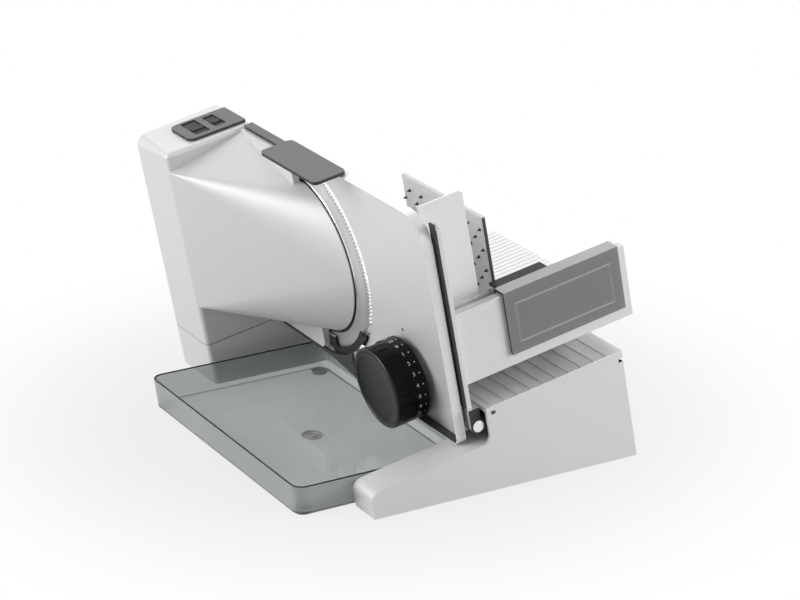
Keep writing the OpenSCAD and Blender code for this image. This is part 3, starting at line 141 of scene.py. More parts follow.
class Bench:
    """Work on meshes as by hand: selecting, editing and finishing one object at a time."""

    @staticmethod
    def clear() -> None:
        """Leaves edit mode and deselects everything."""
        if bpy.context.object and bpy.context.object.mode != "OBJECT":
            bpy.ops.object.mode_set(mode="OBJECT")
        bpy.ops.object.select_all(action="DESELECT")

    @staticmethod
    def take(piece: Piece) -> None:
        """Selects one object alone and makes it active.

        Args:
            piece: the object.
        """
        Bench.clear()
        piece.select_set(True)
        bpy.context.view_layer.objects.active = piece

    @staticmethod
    def edit(piece: Piece) -> None:
        """Opens one object in edit mode with all of its mesh selected.

        Args:
            piece: the object.
        """
        Bench.take(piece)
        bpy.ops.object.mode_set(mode="EDIT")
        bpy.ops.mesh.select_all(action="SELECT")

    @staticmethod
    def close() -> None:
        """Turns all faces outwards and leaves edit mode."""
        bpy.ops.mesh.select_all(action="SELECT")
        bpy.ops.mesh.normals_make_consistent(inside=False)
        bpy.ops.object.mode_set(mode="OBJECT")

    @staticmethod
    def join(pieces: list[Piece]) -> Piece:
        """Makes one object of several.

        Args:
            pieces: the objects; the first takes in the rest.

        Returns:
            The joined object.
        """
        Bench.clear()
        for piece in pieces:
            piece.select_set(True)
        bpy.context.view_layer.objects.active = pieces[0]
        bpy.ops.object.join()
        return bpy.context.object

    @staticmethod
    def copy_of(node: Piece, name: str) -> Piece:
        """A free copy of a frame node's mesh, with its loose triangles merged.

        Args:
            node: the frame's object.
            name: name of the copy.

        Returns:
            The new object, at the origin.
        """
        mesh = node.data.copy()
        mesh.name = name
        mesh.materials.clear()
        piece = bpy.data.objects.new(name, mesh)
        bpy.context.scene.collection.objects.link(piece)
        Bench.take(piece)
        if mesh.has_custom_normals:
            bpy.ops.mesh.customdata_custom_splitnormals_clear()
        Bench.edit(piece)
        bpy.ops.mesh.remove_doubles(threshold=MERGE_GAP)
        bpy.ops.mesh.dissolve_limited(angle_limit=FLAT_ANGLE)
        bpy.ops.object.mode_set(mode="OBJECT")
        return piece

    @staticmethod
    def soften(piece: Piece, width: float, angle: float = 40.0, segments: int = 2,
               edge_slot: int = -1) -> None:
        """Rounds the sharp edges and shades the rest smooth.

        Args:
            piece: the object.
            width: bevel width in millimetres.
            angle: edges sharper than this are rounded, in degrees.
            segments: steps of the rounding.
            edge_slot: material slot of the rounded edges, -1 for that of their neighbours.
        """
        Bench.take(piece)
        if width > 0:
            bevel = piece.modifiers.new("edge", "BEVEL")
            bevel.width = width * MM
            bevel.segments = segments
            bevel.limit_method = "ANGLE"
            bevel.angle_limit = math.radians(angle)
            bevel.miter_outer = "MITER_ARC"
            bevel.material = edge_slot
            bpy.ops.object.modifier_apply(modifier=bevel.name)
        bpy.ops.object.shade_smooth_by_angle(angle=SMOOTH_ANGLE)
        if width > 0:
            even = piece.modifiers.new("even", "WEIGHTED_NORMAL")
            even.weight = 100
            even.keep_sharp = True
            bpy.ops.object.modifier_apply(modifier=even.name)

    @staticmethod
    def pick(piece: Piece, test: FaceTest) -> None:
        """Selects faces by their place and normal, and stays in edit mode.

        Args:
            piece: the object, in object mode.
            test: takes a face's centre and normal, says whether to select it.
        """
        Bench.take(piece)
        bpy.ops.object.mode_set(mode="EDIT")
        bpy.ops.mesh.select_mode(type="FACE")
        bpy.ops.mesh.select_all(action="DESELECT")
        bpy.ops.object.mode_set(mode="OBJECT")
        for face in piece.data.polygons:
            face.select = test(face.center, face.normal)
        bpy.ops.object.mode_set(mode="EDIT")

    @staticmethod
    def drawn(name: str, corners: Outline, fill: str = "NGON") -> Piece:
        """A flat shape: a circle of as many corners as it needs, each corner moved to its place.

        Args:
            name: name of the new object.
            corners: its corners in order, in millimetres.
            fill: NGON for a face, NOTHING for an open outline.

        Returns:
            The new object, in edit mode with all of it selected.
        """
        Bench.clear()
        bpy.ops.mesh.primitive_circle_add(vertices=len(corners), radius=MM, fill_type=fill, calc_uvs=False)
        piece = bpy.context.object
        piece.name = name
        piece.data.name = name
        for point, corner in zip(piece.data.vertices, corners):
            point.co = Vector(corner) * MM
        Bench.edit(piece)
        return piece

    @staticmethod
    def lathe(name: str, profile: list[Pair], centre: Vector, steps: int) -> Piece:
        """Spins a profile about a line along X.

        Args:
            name: name of the new object.
            profile: closed outline of (x, radius) in millimetres, x counted from the centre.
            centre: a point on the axis, in millimetres.
            steps: steps of the turn.

        Returns:
            The new object, smooth, in object mode.
        """
        corners = [(centre.x + x, centre.y, centre.z + radius) for x, radius in profile]
        piece = Bench.drawn(name, corners, "NOTHING")
        bpy.ops.mesh.spin(steps=steps, angle=2 * math.pi, center=centre * MM, axis=(1, 0, 0))
        bpy.ops.mesh.select_all(action="SELECT")
        bpy.ops.mesh.remove_doubles(threshold=SPIN_GAP)
        Bench.close()
        bpy.ops.object.shade_smooth_by_angle(angle=ROUND_ANGLE)
        return piece

    @staticmethod
    def raised(name: str, corners: Outline, lift: Vector, edge: float = 0.0) -> Piece:
        """A flat shape drawn as an outline, raised to a thickness, with softened edges.

        Args:
            name: name of the new object.
            corners: its corners in order, in millimetres.
            lift: direction and height of the raise, in millimetres.
            edge: width of the softened edges, in millimetres.

        Returns:
            The new object, in object mode.
        """
        piece = Bench.drawn(name, corners)
        bpy.ops.mesh.extrude_region_move(TRANSFORM_OT_translate={"value": lift * MM})
        Bench.close()
        if edge > 0:
            Bench.soften(piece, edge)
        return piece

    @staticmethod
    def cup(name: str, corners: Outline, height: float, wall: float, depth: float,
            draft: float = 0.0) -> Piece:
        """An open vessel: an outline raised, inset by the wall and sunk again.

        Args:
            name: name of the new object.
            corners: the bottom outline, flat and anticlockwise, in millimetres.
            height: height of the walls, in millimetres.
            wall: wall thickness, in millimetres.
            depth: depth of the hollow, in millimetres.
            draft: how far the walls lean outwards over their height, in millimetres.

        Returns:
            The new object, in object mode.
        """
        across, along = [corner[0] for corner in corners], [corner[1] for corner in corners]
        width, length = max(across) - min(across), max(along) - min(along)
        middle = Vector((sum(across), sum(along), 0)) / len(corners) * MM
        grow, shrink = 2 * draft, 2 * draft * depth / height
        piece = Bench.drawn(name, corners)
        bpy.ops.mesh.extrude_region_move(TRANSFORM_OT_translate={"value": Vector((0, 0, height)) * MM})
        bpy.ops.transform.resize(value=(1 + grow / width, 1 + grow / length, 1), center_override=middle)
        bpy.ops.mesh.inset(thickness=wall * MM)
        bpy.ops.mesh.extrude_region_move(TRANSFORM_OT_translate={"value": Vector((0, 0, -depth)) * MM})
        bpy.ops.transform.resize(value=(1 - shrink / width, 1 - shrink / length, 1), center_override=middle)
        Bench.close()
        return piece


@dataclass(frozen=True)
class Wiring:
    """The nodes of one tree: adding them with their constants, and joining them."""

    tree: bpy.types.NodeTree

    @staticmethod
    def fill(node: Node, constants: Constants) -> None:
        """Sets a node's constants by the names or places of its inputs."""
        for name, value in constants.items():
            node.inputs[name].default_value = value

    def add(self, kind: str, constants: Constants | None = None, operation: str = "",
            source: Socket | None = None) -> Node:
        """Adds a node.

        Args:
            kind: its type, without the prefix of shader nodes.
            constants: values of its inputs.
            operation: what it does, where its type has a choice.
            source: what its first input takes.

        Returns:
            The node.
        """
        node = self.tree.nodes.new("ShaderNode" + kind)
        if operation:
            node.operation = operation
        self.fill(node, constants or {})
        if source is not None:
            self.join((source, node.inputs[0]))
        return node

    def join(self, *links: tuple[Socket, Socket]) -> None:
        """Joins outputs to inputs."""
        for source, target in links:
            self.tree.links.new(source, target)

    def reckon(self, operation: str, *terms: Socket | float, clamp: bool = False) -> Socket:
        """A step of arithmetic.

        Args:
            operation: the step.
            terms: sockets or plain numbers.
            clamp: whether the result is kept between 0 and 1.

        Returns:
            The socket of the result.
        """
        step = self.add("Math", operation=operation)
        step.use_clamp = clamp
        for target, term in zip(step.inputs, terms):
            if isinstance(term, (int, float)):
                target.default_value = term
            else:
                self.join((term, target))
        return step.outputs[0]

    def spread(self, value: Socket, reach: Pair, result: Pair = (0.0, 1.0), smooth: bool = False) -> Socket:
        """Maps a range onto another.

        Args:
            value: what is mapped.
            reach: its low and high ends.
            result: what these become.
            smooth: whether the ends are eased.

        Returns:
            The socket of the result.
        """
        node = self.add("MapRange", {"From Min": reach[0], "From Max": reach[1],
                                     "To Min": result[0], "To Max": result[1]}, source=value)
        if smooth:
            node.interpolation_type = "SMOOTHSTEP"
        return node.outputs[0]

    def ramp(self, value: Socket, stops: list[Pair], ease: bool = False) -> Socket:
        """A ramp of greys.

        Args:
            value: where on the ramp.
            stops: places and levels.
            ease: whether it eases between the stops.

        Returns:
            The socket of the grey.
        """
        node = self.add("ValToRGB", source=value)
        if ease:
            node.color_ramp.interpolation = "EASE"
        made = node.color_ramp.elements
        for index, (place, level) in enumerate(stops):
            stop = made[index] if index < 2 else made.new(place)
            stop.position = place
            stop.color = (level, level, level, 1)
        return node.outputs["Color"]

    def backdrop_rays(self) -> Socket:
        """Tells the rays that see the plain white background: those of the camera, gloss and glass.

        Returns:
            The socket, 1 for such a ray and 0 for any other.
        """
        path = self.add("LightPath")
        plain = self.reckon("ADD", path.outputs["Is Camera Ray"], path.outputs["Is Glossy Ray"], clamp=True)
        return self.reckon("ADD", plain, path.outputs["Is Transmission Ray"], clamp=True)


def principled(name: str, constants: Constants) -> tuple[bpy.types.Material, Wiring, Node]:
    """A fresh node material.

    Args:
        name: its name.
        constants: values of its Principled BSDF.

    Returns:
        The material, the wiring of its nodes and its Principled BSDF.
    """
    material = bpy.data.materials.new(name)
    material.use_nodes = True
    shader = material.node_tree.nodes["Principled BSDF"]
    Wiring.fill(shader, constants)
    return material, Wiring(material.node_tree), shader


def grain_group() -> bpy.types.NodeTree:
    """Shared node group of fine and broad surface noise in object coordinates.

    Returns:
        The group, with the two noises as outputs.
    """
    group = bpy.data.node_groups.get("surface_grain")
    if group:
        return group
    group = bpy.data.node_groups.new("surface_grain", "ShaderNodeTree")
    for name, side, kind in (("Stretch", "INPUT", "Vector"), ("Scale", "INPUT", "Float"),
                             ("Detail", "INPUT", "Float"), ("Mask", "OUTPUT", "Float"),
                             ("Broad", "OUTPUT", "Float")):
        group.interface.new_socket(name, in_out=side, socket_type="NodeSocket" + kind)
    entry = group.nodes.new("NodeGroupInput")
    leave = group.nodes.new("NodeGroupOutput")
    wiring = Wiring(group)
    place = wiring.add("TexCoord")
    stretch = wiring.add("VectorMath", operation="MULTIPLY", source=place.outputs["Object"])
    noise = wiring.add("TexNoise", source=stretch.outputs[0])
    broad = wiring.add("TexNoise", {"Scale": 14, "Detail": 3}, source=place.outputs["Object"])
    wiring.join((entry.outputs["Stretch"], stretch.inputs[1]),
                (entry.outputs["Scale"], noise.inputs["Scale"]),
                (entry.outputs["Detail"], noise.inputs["Detail"]),
                (noise.outputs["Fac"], leave.inputs["Mask"]), (broad.outputs["Fac"], leave.inputs["Broad"]))
    return group


@dataclass(frozen=True)
class Finish:
    """One surface finish, made as a node material."""

    name: str
    slot: Slot
    colour: Triple
    metallic: float = 0.0
    rough: float = 0.4
    rough_spread: float = 0.06
    tone_spread: float = 0.04
    grain: Grain = Grain.FINE
    grain_size: float = 0.5
    bump: float = 0.05
    bump_height: float = 0.1
    coat: float = 0.0
    coat_rough: float = 0.3
    transmission: float = 0.0
    ior: float = 1.46
    specular: float = 0.5
    # Painted light about the blade's axis: rings of painted shade and painted highlight by radius, and
    # painted glints at the teeth.
    zones: tuple[Pair, ...] = ()
    teeth: int = 0
    tooth_reach: Pair = (86.2, 86.9)
    tooth_gain: float = 0.4
    noise_reach: Pair = (0.3, 0.7)

    def stretch(self) -> Triple:
        """How far the grain is drawn out along each axis.

        Returns:
            A factor for each axis.
        """
        if self.grain is Grain.BRUSHED_ALONG:
            return (1.0, 0.02, 1.0)
        if self.grain is Grain.BRUSHED_ACROSS:
            return (0.02, 1.0, 0.1)
        return (1.0, 1.0, 1.0)

    def turned(self, wiring: Wiring) -> tuple[Socket, Socket, Socket]:
        """Grain in rings about the blade's axis.

        Args:
            wiring: the material's nodes.

        Returns:
            The sockets that give the grain, the distance from the axis and the place across it.
        """
        centre = LEANING @ (BLADE_CENTRE * MM)
        place = wiring.add("TexCoord")
        shift = wiring.add("Mapping", {"Location": -(Matrix.Rotation(LEAN, 4, "Y") @ centre),
                                       "Rotation": (0, LEAN, 0)}, source=place.outputs["Object"])
        split = wiring.add("SeparateXYZ", source=shift.outputs[0])
        across = wiring.add("CombineXYZ")
        length = wiring.add("VectorMath", operation="LENGTH", source=across.outputs[0])
        noise = wiring.add("TexNoise", {"Scale": 1.0 / (self.grain_size * MM), "Detail": 4})
        noise.noise_dimensions = "1D"
        wiring.join((split.outputs["Y"], across.inputs["Y"]), (split.outputs["Z"], across.inputs["Z"]),
                    (length.outputs["Value"], noise.inputs["W"]))
        return noise.outputs["Fac"], length.outputs["Value"], across.outputs[0]

    def zone_tone(self, wiring: Wiring, radius: Socket) -> Socket:
        """Painted shade and painted highlight in rings, from the distance to the axis.

        Args:
            wiring: the material's nodes.
            radius: distance from the axis, in metres.

        Returns:
            The socket that gives the tone's factor.
        """
        low, high = self.zones[0][0], self.zones[-1][0]
        return wiring.ramp(wiring.spread(radius, (low * MM, high * MM)),
                           [((reach - low) / (high - low), tone) for reach, tone in self.zones])

    def tooth_tone(self, wiring: Wiring, radius: Socket, across: Socket) -> Socket:
        """Painted glints at the blade's edge, bright and dark by turns round it.

        Args:
            wiring: the material's nodes.
            radius: distance from the axis, in metres.
            across: the place across the axis.

        Returns:
            The socket that gives the light added at the teeth.
        """
        split = wiring.add("SeparateXYZ", source=across)
        turn = wiring.reckon("ARCTAN2", split.outputs["Z"], split.outputs["Y"])
        wave = wiring.reckon("SINE", wiring.reckon("MULTIPLY", turn, self.teeth))
        low, high = self.tooth_reach
        return wiring.reckon("MULTIPLY", wave, wiring.spread(radius, (low * MM, high * MM)))

    def build(self) -> bpy.types.Material:
        """Makes the material once and gives it back after that.

        Returns:
            The material.
        """
        if self.name in bpy.data.materials:
            return bpy.data.materials[self.name]
        material, wiring, shader = principled(self.name, {
            "Metallic": self.metallic, "IOR": self.ior, "Specular IOR Level": self.specular,
            "Coat Weight": self.coat, "Coat Roughness": self.coat_rough,
            "Transmission Weight": self.transmission})
        group = wiring.add("Group")
        group.node_tree = grain_group()
        wiring.fill(group, {"Stretch": self.stretch(), "Scale": 1.0 / (self.grain_size * MM), "Detail": 3.0})
        mask = group.outputs["Mask"]
        if self.grain is Grain.TURNED:
            mask, radius, across = self.turned(wiring)
        broad = wiring.reckon("MULTIPLY", group.outputs["Broad"], 0.5)
        both = wiring.reckon("MULTIPLY_ADD", mask, 0.5, broad)
        tone = wiring.spread(both, self.noise_reach, (1.0 - self.tone_spread, 1.0 + self.tone_spread))
        # Painted shade and highlight rings, then painted glints at the teeth.
        if self.zones:
            tone = wiring.reckon("MULTIPLY", tone, self.zone_tone(wiring, radius))
        if self.teeth:
            glints = self.tooth_tone(wiring, radius, across)
            tone = wiring.reckon("MULTIPLY_ADD", glints, self.tooth_gain, tone)
        tint = wiring.add("VectorMath", {0: self.colour}, "SCALE")
        rough = wiring.spread(both, self.noise_reach, (max(0.02, self.rough - self.rough_spread),
                                                       self.rough + self.rough_spread))
        wiring.join((tone, tint.inputs["Scale"]), (tint.outputs[0], shader.inputs["Base Color"]),
                    (rough, shader.inputs["Roughness"]))
        if self.bump > 0:
            bump = wiring.add("Bump", {"Strength": self.bump, "Distance": self.bump_height * MM})
            wiring.join((mask, bump.inputs["Height"]), (bump.outputs[0], shader.inputs["Normal"]))
        return material


SILVER = Finish("silver_lacquer", Slot.CAST, (0.68, 0.685, 0.685), metallic=0.3, rough=0.52,
                rough_spread=0.03, tone_spread=0.025, bump=0.06, coat=0.25)
# Painted highlight: a lighter, glossier copy of the silver lacquer, laid on rounded edges and on a few faces
# in the light.
SILVER_EDGE_HIGHLIGHT = Finish("silver_edge", Slot.CAST, (0.74, 0.745, 0.745), metallic=0.6, rough=0.24,
                     rough_spread=0.03, tone_spread=0.02, bump=0.03, coat=0.3)
PLATE_SILVER = Finish("plate_silver", Slot.CAST, (0.74, 0.745, 0.745), metallic=0.35, rough=0.44,
                      rough_spread=0.03, tone_spread=0.02, grain_size=0.45, bump=0.05, coat=0.2)
SHEET = Finish("brushed_deck", Slot.STEEL, (0.86, 0.87, 0.87), metallic=0.45, rough=0.36, rough_spread=0.08,
               tone_spread=0.07, grain=Grain.BRUSHED_ALONG, grain_size=0.7, bump=0.06)
# Painted light: black painted shadow inside the fairing's edge, painted highlight bands at the ridge and
# bevel, painted glints at the teeth; the far face has a painted dark and bright line at its bevel.
BLADE_STEEL = Finish("ground_blade", Slot.STEEL, (0.74, 0.75, 0.75), metallic=0.75, rough=0.36,
                     tone_spread=0.05, grain=Grain.TURNED, grain_size=0.9, bump=0.04, teeth=170,
                     zones=((60.0, 0.01), (70.5, 0.01), (70.8, 1.1), (72.4, 1.1), (73.0, 0.72), (77.0, 0.82),
                            (82.4, 0.84), (82.9, 1.15), (83.4, 0.7), (88.5, 0.85)))
BLADE_FACE = Finish("ground_face", Slot.STEEL, (0.62, 0.63, 0.63), metallic=0.85, rough=0.32,
                    tone_spread=0.06, grain=Grain.TURNED, grain_size=0.9, bump=0.05, teeth=170,
                    zones=((20.0, 0.9), (60.0, 0.95), (78.0, 1.0), (79.0, 0.75), (79.6, 1.15), (88.5, 1.0)))
# Painted shade: the lower guard's steel is coloured near black, as the shade below the blade.
GUARD_SHADE = Finish("guard_steel", Slot.STEEL, (0.01, 0.01, 0.011), metallic=0.1, rough=0.4,
                     rough_spread=0.08, tone_spread=0.06, grain=Grain.TURNED, grain_size=1.2, bump=0.06)
CHUTE = Finish("chute_plastic", Slot.GREY_PLASTIC, (0.03, 0.033, 0.034), rough=0.38, tone_spread=0.08,
               grain_size=0.35, bump=0.1)
PLAIN_STEEL = Finish("plain_steel", Slot.STEEL, (0.5, 0.5, 0.51), metallic=1.0, rough=0.35, grain_size=0.8)
CHROME = Finish("polished_steel", Slot.BRIGHT, (0.78, 0.78, 0.78), metallic=1.0, rough=0.12,
                rough_spread=0.04, tone_spread=0.02, grain_size=1.5, bump=0.02)
ALUMINIUM = Finish("satin_aluminium", Slot.ALUMINIUM, (0.66, 0.665, 0.67), metallic=0.6, rough=0.36,
                   rough_spread=0.05, tone_spread=0.03, grain=Grain.BRUSHED_ACROSS, grain_size=0.6,
                   bump=0.04)
DARK_GREY = Finish("dark_grey_plastic", Slot.GREY_PLASTIC, (0.076, 0.084, 0.087), rough=0.42,
                   tone_spread=0.08, grain_size=0.35, bump=0.12)
BLACK = Finish("black_plastic", Slot.BLACK_PLASTIC, (0.004, 0.004, 0.005), rough=0.42, specular=0.08,
               grain_size=0.35, bump=0.12)
GLOSS = Finish("dial_black", Slot.BLACK_GLOSS, (0.004, 0.0045, 0.005), rough=0.3, rough_spread=0.05,
               grain_size=0.8, bump=0.03, specular=0.1)
# Painted highlight: the dial's front face is a touch lighter than the black of its rim, and glossier.
DIAL_FACE_HIGHLIGHT = Finish("dial_face", Slot.BLACK_GLOSS, (0.010, 0.011, 0.012), rough=0.26, rough_spread=0.0,
                   tone_spread=0.0, grain_size=0.8, bump=0.0, specular=0.35)
SMOKE = Finish("clear_smoke", Slot.SMOKE, (0.60, 0.62, 0.62), rough=0.05, rough_spread=0.02,
               tone_spread=0.02, grain_size=3.0, bump=0.0, transmission=0.7, ior=1.25, specular=0.35)
SMOKE_LINE = Finish("smoke_line", Slot.SMOKE, (0.52, 0.53, 0.53), rough=0.2, rough_spread=0.03,
                    tone_spread=0.02, grain_size=3.0, bump=0.01, transmission=0.3)
# Painted highlight: lighter smoke for the holder cap's rounded edges.
SMOKE_EDGE_HIGHLIGHT = replace(SMOKE_LINE, name="smoke_edge", colour=(0.62, 0.63, 0.63), transmission=0.2, ior=1.4)
# Painted light: lighter smoke for the holder cap's top faces.
SMOKE_LIT_TOP = replace(SMOKE_EDGE_HIGHLIGHT, name="smoke_top", rough=0.14, transmission=0.4, ior=1.35)
DARK_SMOKE = replace(SMOKE_LIT_TOP, name="dark_smoke", colour=(0.36, 0.372, 0.374), rough=0.16,
                     transmission=0.45)
PALE_SMOKE = replace(SMOKE_LINE, name="pale_smoke", colour=(0.88, 0.89, 0.89), rough=0.25, transmission=0.25,
                     ior=1.3)
# Painted shade: near black for the tray's rounded rim edges.
TRAY_EDGE_SHADE = replace(SMOKE_LINE, name="tray_edge", colour=(0.012, 0.013, 0.014), rough=0.35, transmission=0.0,
                    specular=0.08)
# Painted shade: near black for the holder cap's left side.
CAP_SIDE_SHADE = replace(SMOKE_LINE, name="cap_side", colour=(0.05, 0.052, 0.053), bump=0.05, transmission=0.0,
                   specular=0.3)
RUBBER = Finish("rubber", Slot.RUBBER, (0.02, 0.02, 0.02), rough=0.7, grain_size=0.4, bump=0.15)
BRASS = Finish("brass", Slot.BRASS, (0.72, 0.52, 0.24), metallic=1.0, rough=0.28, grain_size=0.6)
CREAM = Finish("gear_plastic", Slot.GEAR_PLASTIC, (0.78, 0.75, 0.66), rough=0.42, grain_size=0.8, bump=0.04)
IRON = Finish("stator_iron", Slot.IRON, (0.08, 0.078, 0.075), metallic=0.6, rough=0.5,
              grain=Grain.BRUSHED_ALONG, bump=0.2)
COPPER = Finish("winding_copper", Slot.WINDING, (0.45, 0.17, 0.07), metallic=0.8, rough=0.3, bump=0.2)
SEAM = Finish("seam_shadow", Slot.CAST, (0.01, 0.01, 0.01), rough=0.7, specular=0.05)
PRINT = Finish("white_print", Slot.BLACK_GLOSS, (0.75, 0.75, 0.74), rough=0.5, grain_size=0.3, bump=0.02)
INK = Finish("dark_print", Slot.CAST, (0.03, 0.03, 0.03), rough=0.5, grain_size=0.3, bump=0.02)


@dataclass
class Assembly:
    """A sub-assembly: frame nodes with softened copies, and pieces of its own."""

    nodes: dict[str, Piece]
    body: str = "base"
    made: list[str] = field(default_factory=list)

    def dress(self, piece: Piece, finish: Finish, body: str | None = None) -> None:
        """Gives a piece its finish and its body.

        Args:
            piece: the new object, in place.
            finish: its surface.
            body: the body it rides on, if not the assembly's own.
        """
        if not piece.data.materials:
            piece.data.materials.append(finish.build())
        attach(piece, body or self.body)
        self.made.append(piece.name)

    def place(self, piece: Piece, finish: Finish, frame: Matrix = LEANING) -> None:
        """Puts a piece that was drawn at the machine's own places into the frame and dresses it."""
        piece.data.transform(frame)
        self.dress(piece, finish)

    def skin(self, node: str, finish: Finish, width: float = 0.3, body: str | None = None,
             angle: float = 40.0, segments: int = 2, edge: Finish | None = None) -> Piece:
        """A softened copy of a frame node that stands for it.

        Args:
            node: the node's name.
            finish: its surface.
            width: width of the softened edge, in millimetres.
            body: the body it rides on, if not the assembly's own.
            angle: edges sharper than this are softened, in degrees.
            segments: steps of the rounding.
            edge: finish of the softened edges: a painted highlight on most, painted shade on some.

        Returns:
            The new object.
        """
        piece = Bench.copy_of(self.nodes[node], node + "_skin")
        piece.data.materials.append(finish.build())
        if edge:
            piece.data.materials.append(edge.build())
        Bench.soften(piece, width, angle, segments, 1 if edge else -1)
        self.dress(piece, finish, body)
        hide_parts(node)
        return piece

    def skins(self, *rows: tuple) -> None:
        """Skins several nodes, each row as the arguments of skin."""
        for row in rows:
            self.skin(*row)

    @staticmethod
    def paint(piece: Piece, finish: Finish, test: FaceTest, frame: Matrix = LEANING) -> None:
        """Gives some faces of a piece another finish.

        Args:
            piece: the object.
            finish: the finish of the chosen faces.
            test: takes a face's centre, in millimetres, and its normal, and says whether it is chosen.
            frame: matrix of the millimetre space into the shared frame.
        """
        back = frame.inverted()
        turn = back.to_3x3()
        piece.data.materials.append(finish.build())
        Bench.pick(piece, lambda centre, normal: test((back @ centre) / MM, turn @ normal))
        piece.active_material_index = len(piece.data.materials) - 1
        bpy.ops.object.material_slot_assign()
        Bench.clear()

    def report(self) -> None:
        """Logs what the assembly made."""
        LOG.info("%s: %s", type(self).__name__, ", ".join(self.made))


@dataclass
class Base(Assembly):
    """Casting, deck, rail, cover and feet."""

    seam_z: Pair = (25.9, 26.85)
    seam_slope: float = 0.3
    gap_x: float = 286.8
    gap_y: float = -28.8
    gap_z: Pair = (32.9, 36.3)

    def build(self) -> None:
        """Dresses the base."""
        shell = self.skin("base_housing", SILVER, 0.6, edge=SILVER_EDGE_HIGHLIGHT)
        # Painted shade: the seam under the tower, and the small gap at the right front corner, are black
        # inside.
        self.paint(shell, SEAM, lambda centre, normal: self.seam_z[0] < centre.z < self.seam_z[1]
                   and abs(normal.z) < self.seam_slope)
        self.paint(shell, SEAM, lambda centre, normal: centre.x > self.gap_x and centre.y < self.gap_y
                   and self.gap_z[0] < centre.z < self.gap_z[1] and normal.x < FACING)
        self.skin("deck_plate", SHEET, 0.25, edge=SILVER_EDGE_HIGHLIGHT)
        self.skins(("guide_rail", BLACK), ("guide_rod", CHROME, 0.4), ("pin_bushes", BRASS),
                   ("cord_gland", RUBBER, 0.4), ("base_cover", DARK_GREY), ("rubber_feet", RUBBER),
                   ("housing_screws", PLAIN_STEEL), ("cam_arm", PLAIN_STEEL))


@dataclass
class Tower(Assembly):
    """Motor housing with its guards, panel and buttons."""

    cap_slope: float = 0.6
    bright_tip_y: float = 181.0

    def build(self) -> None:
        """Dresses the tower."""
        self.skin("motor_housing", SILVER, 0.5, angle=35, edge=SILVER_EDGE_HIGHLIGHT)
        self.skin("rear_cover", SILVER, 0.4)
        panel = self.skin("switch_panel", DARK_GREY, 0.5)
        # Painted shade: the panel's side faces, the walls of its button wells among them, are black.
        self.paint(panel, BLACK, lambda centre, normal: abs(normal.z) < SIDEWAYS)
        cap = self.skin("guard_cap", DARK_GREY, 0.9, segments=3)
        # Painted shade: the cap's faces that do not face upwards are black.
        self.paint(cap, BLACK, lambda centre, normal: normal.z < self.cap_slope)
        self.skin("guard_strip", DARK_GREY, 0.4)
        # Painted shade: the lower guard is near black as the shade below the blade; its tip past
        # bright_tip_y takes the painted edge highlight.
        guard = self.skin("lower_blade_guard", GUARD_SHADE)
        self.paint(guard, SILVER_EDGE_HIGHLIGHT, lambda centre, normal: centre.y > self.bright_tip_y)
        # Painted shade: black along the deflector's rounded edges.
        self.skin("slice_deflector", CHUTE, edge=BLACK)
        self.skins(("switch_block", BLACK), ("on_button", BLACK, 0.5, "on_button_body"),
                   ("lock_button", BLACK, 0.5, "lock_button_body"))


@dataclass
class Drive(Assembly):
    """Gear plate, gears and motor."""

    def build(self) -> None:
        """Dresses the drive."""
        self.skins(("gear_plate", PLAIN_STEEL), ("plate_posts", PLAIN_STEEL), ("motor_can", PLAIN_STEEL),
                   ("blade_axle", CHROME), ("idler_bush", BRASS, 0.2), ("motor_bearing", BRASS, 0.2),
                   ("motor_brackets", ALUMINIUM), ("motor_stator", IRON, 0.2),
                   ("idler_gear", CREAM, 0.12, "idler"), ("motor_shaft", CHROME, 0.3, "rotor"),
                   ("motor_pinion", PLAIN_STEEL, 0.1, "rotor"), ("armature", COPPER, 0.3, "rotor"),
                   ("commutator", COPPER, 0.2, "rotor"))


@dataclass
class Blade(Assembly):
    """Ground blade, hub, ring gear and lock."""

    body: str = "blade_group"
    ridge_x: float = -0.4
    ridge_radius: float = 71.4
    ridge_swell: Pair = (0.6, 0.7)
    ridge_steps: int = 160

    def build(self) -> None:
        """Dresses the blade group."""
        disc = self.skin("blade", BLADE_STEEL, 0.0)
        self.paint(disc, BLADE_FACE, lambda centre, normal: normal.x > 0)
        self.skins(("blade_hub", PLAIN_STEEL), ("blade_gear", CREAM, 0.12),
                   ("blade_lock", CHROME, 0.4, "lock"))
        self.ridge()

    def ridge(self) -> None:
        """The bright pressed ridge round the fairing's edge."""
        thick, high = self.ridge_swell
        turns = [math.radians(turn) for turn in range(0, 360, 30)]
        swell = [(-thick * math.cos(turn), self.ridge_radius + high * math.sin(turn)) for turn in turns]
        centre = BLADE_CENTRE + Vector((self.ridge_x, 0, 0))
        self.place(Bench.lathe("blade_ridge", swell, centre, self.ridge_steps), CHROME)


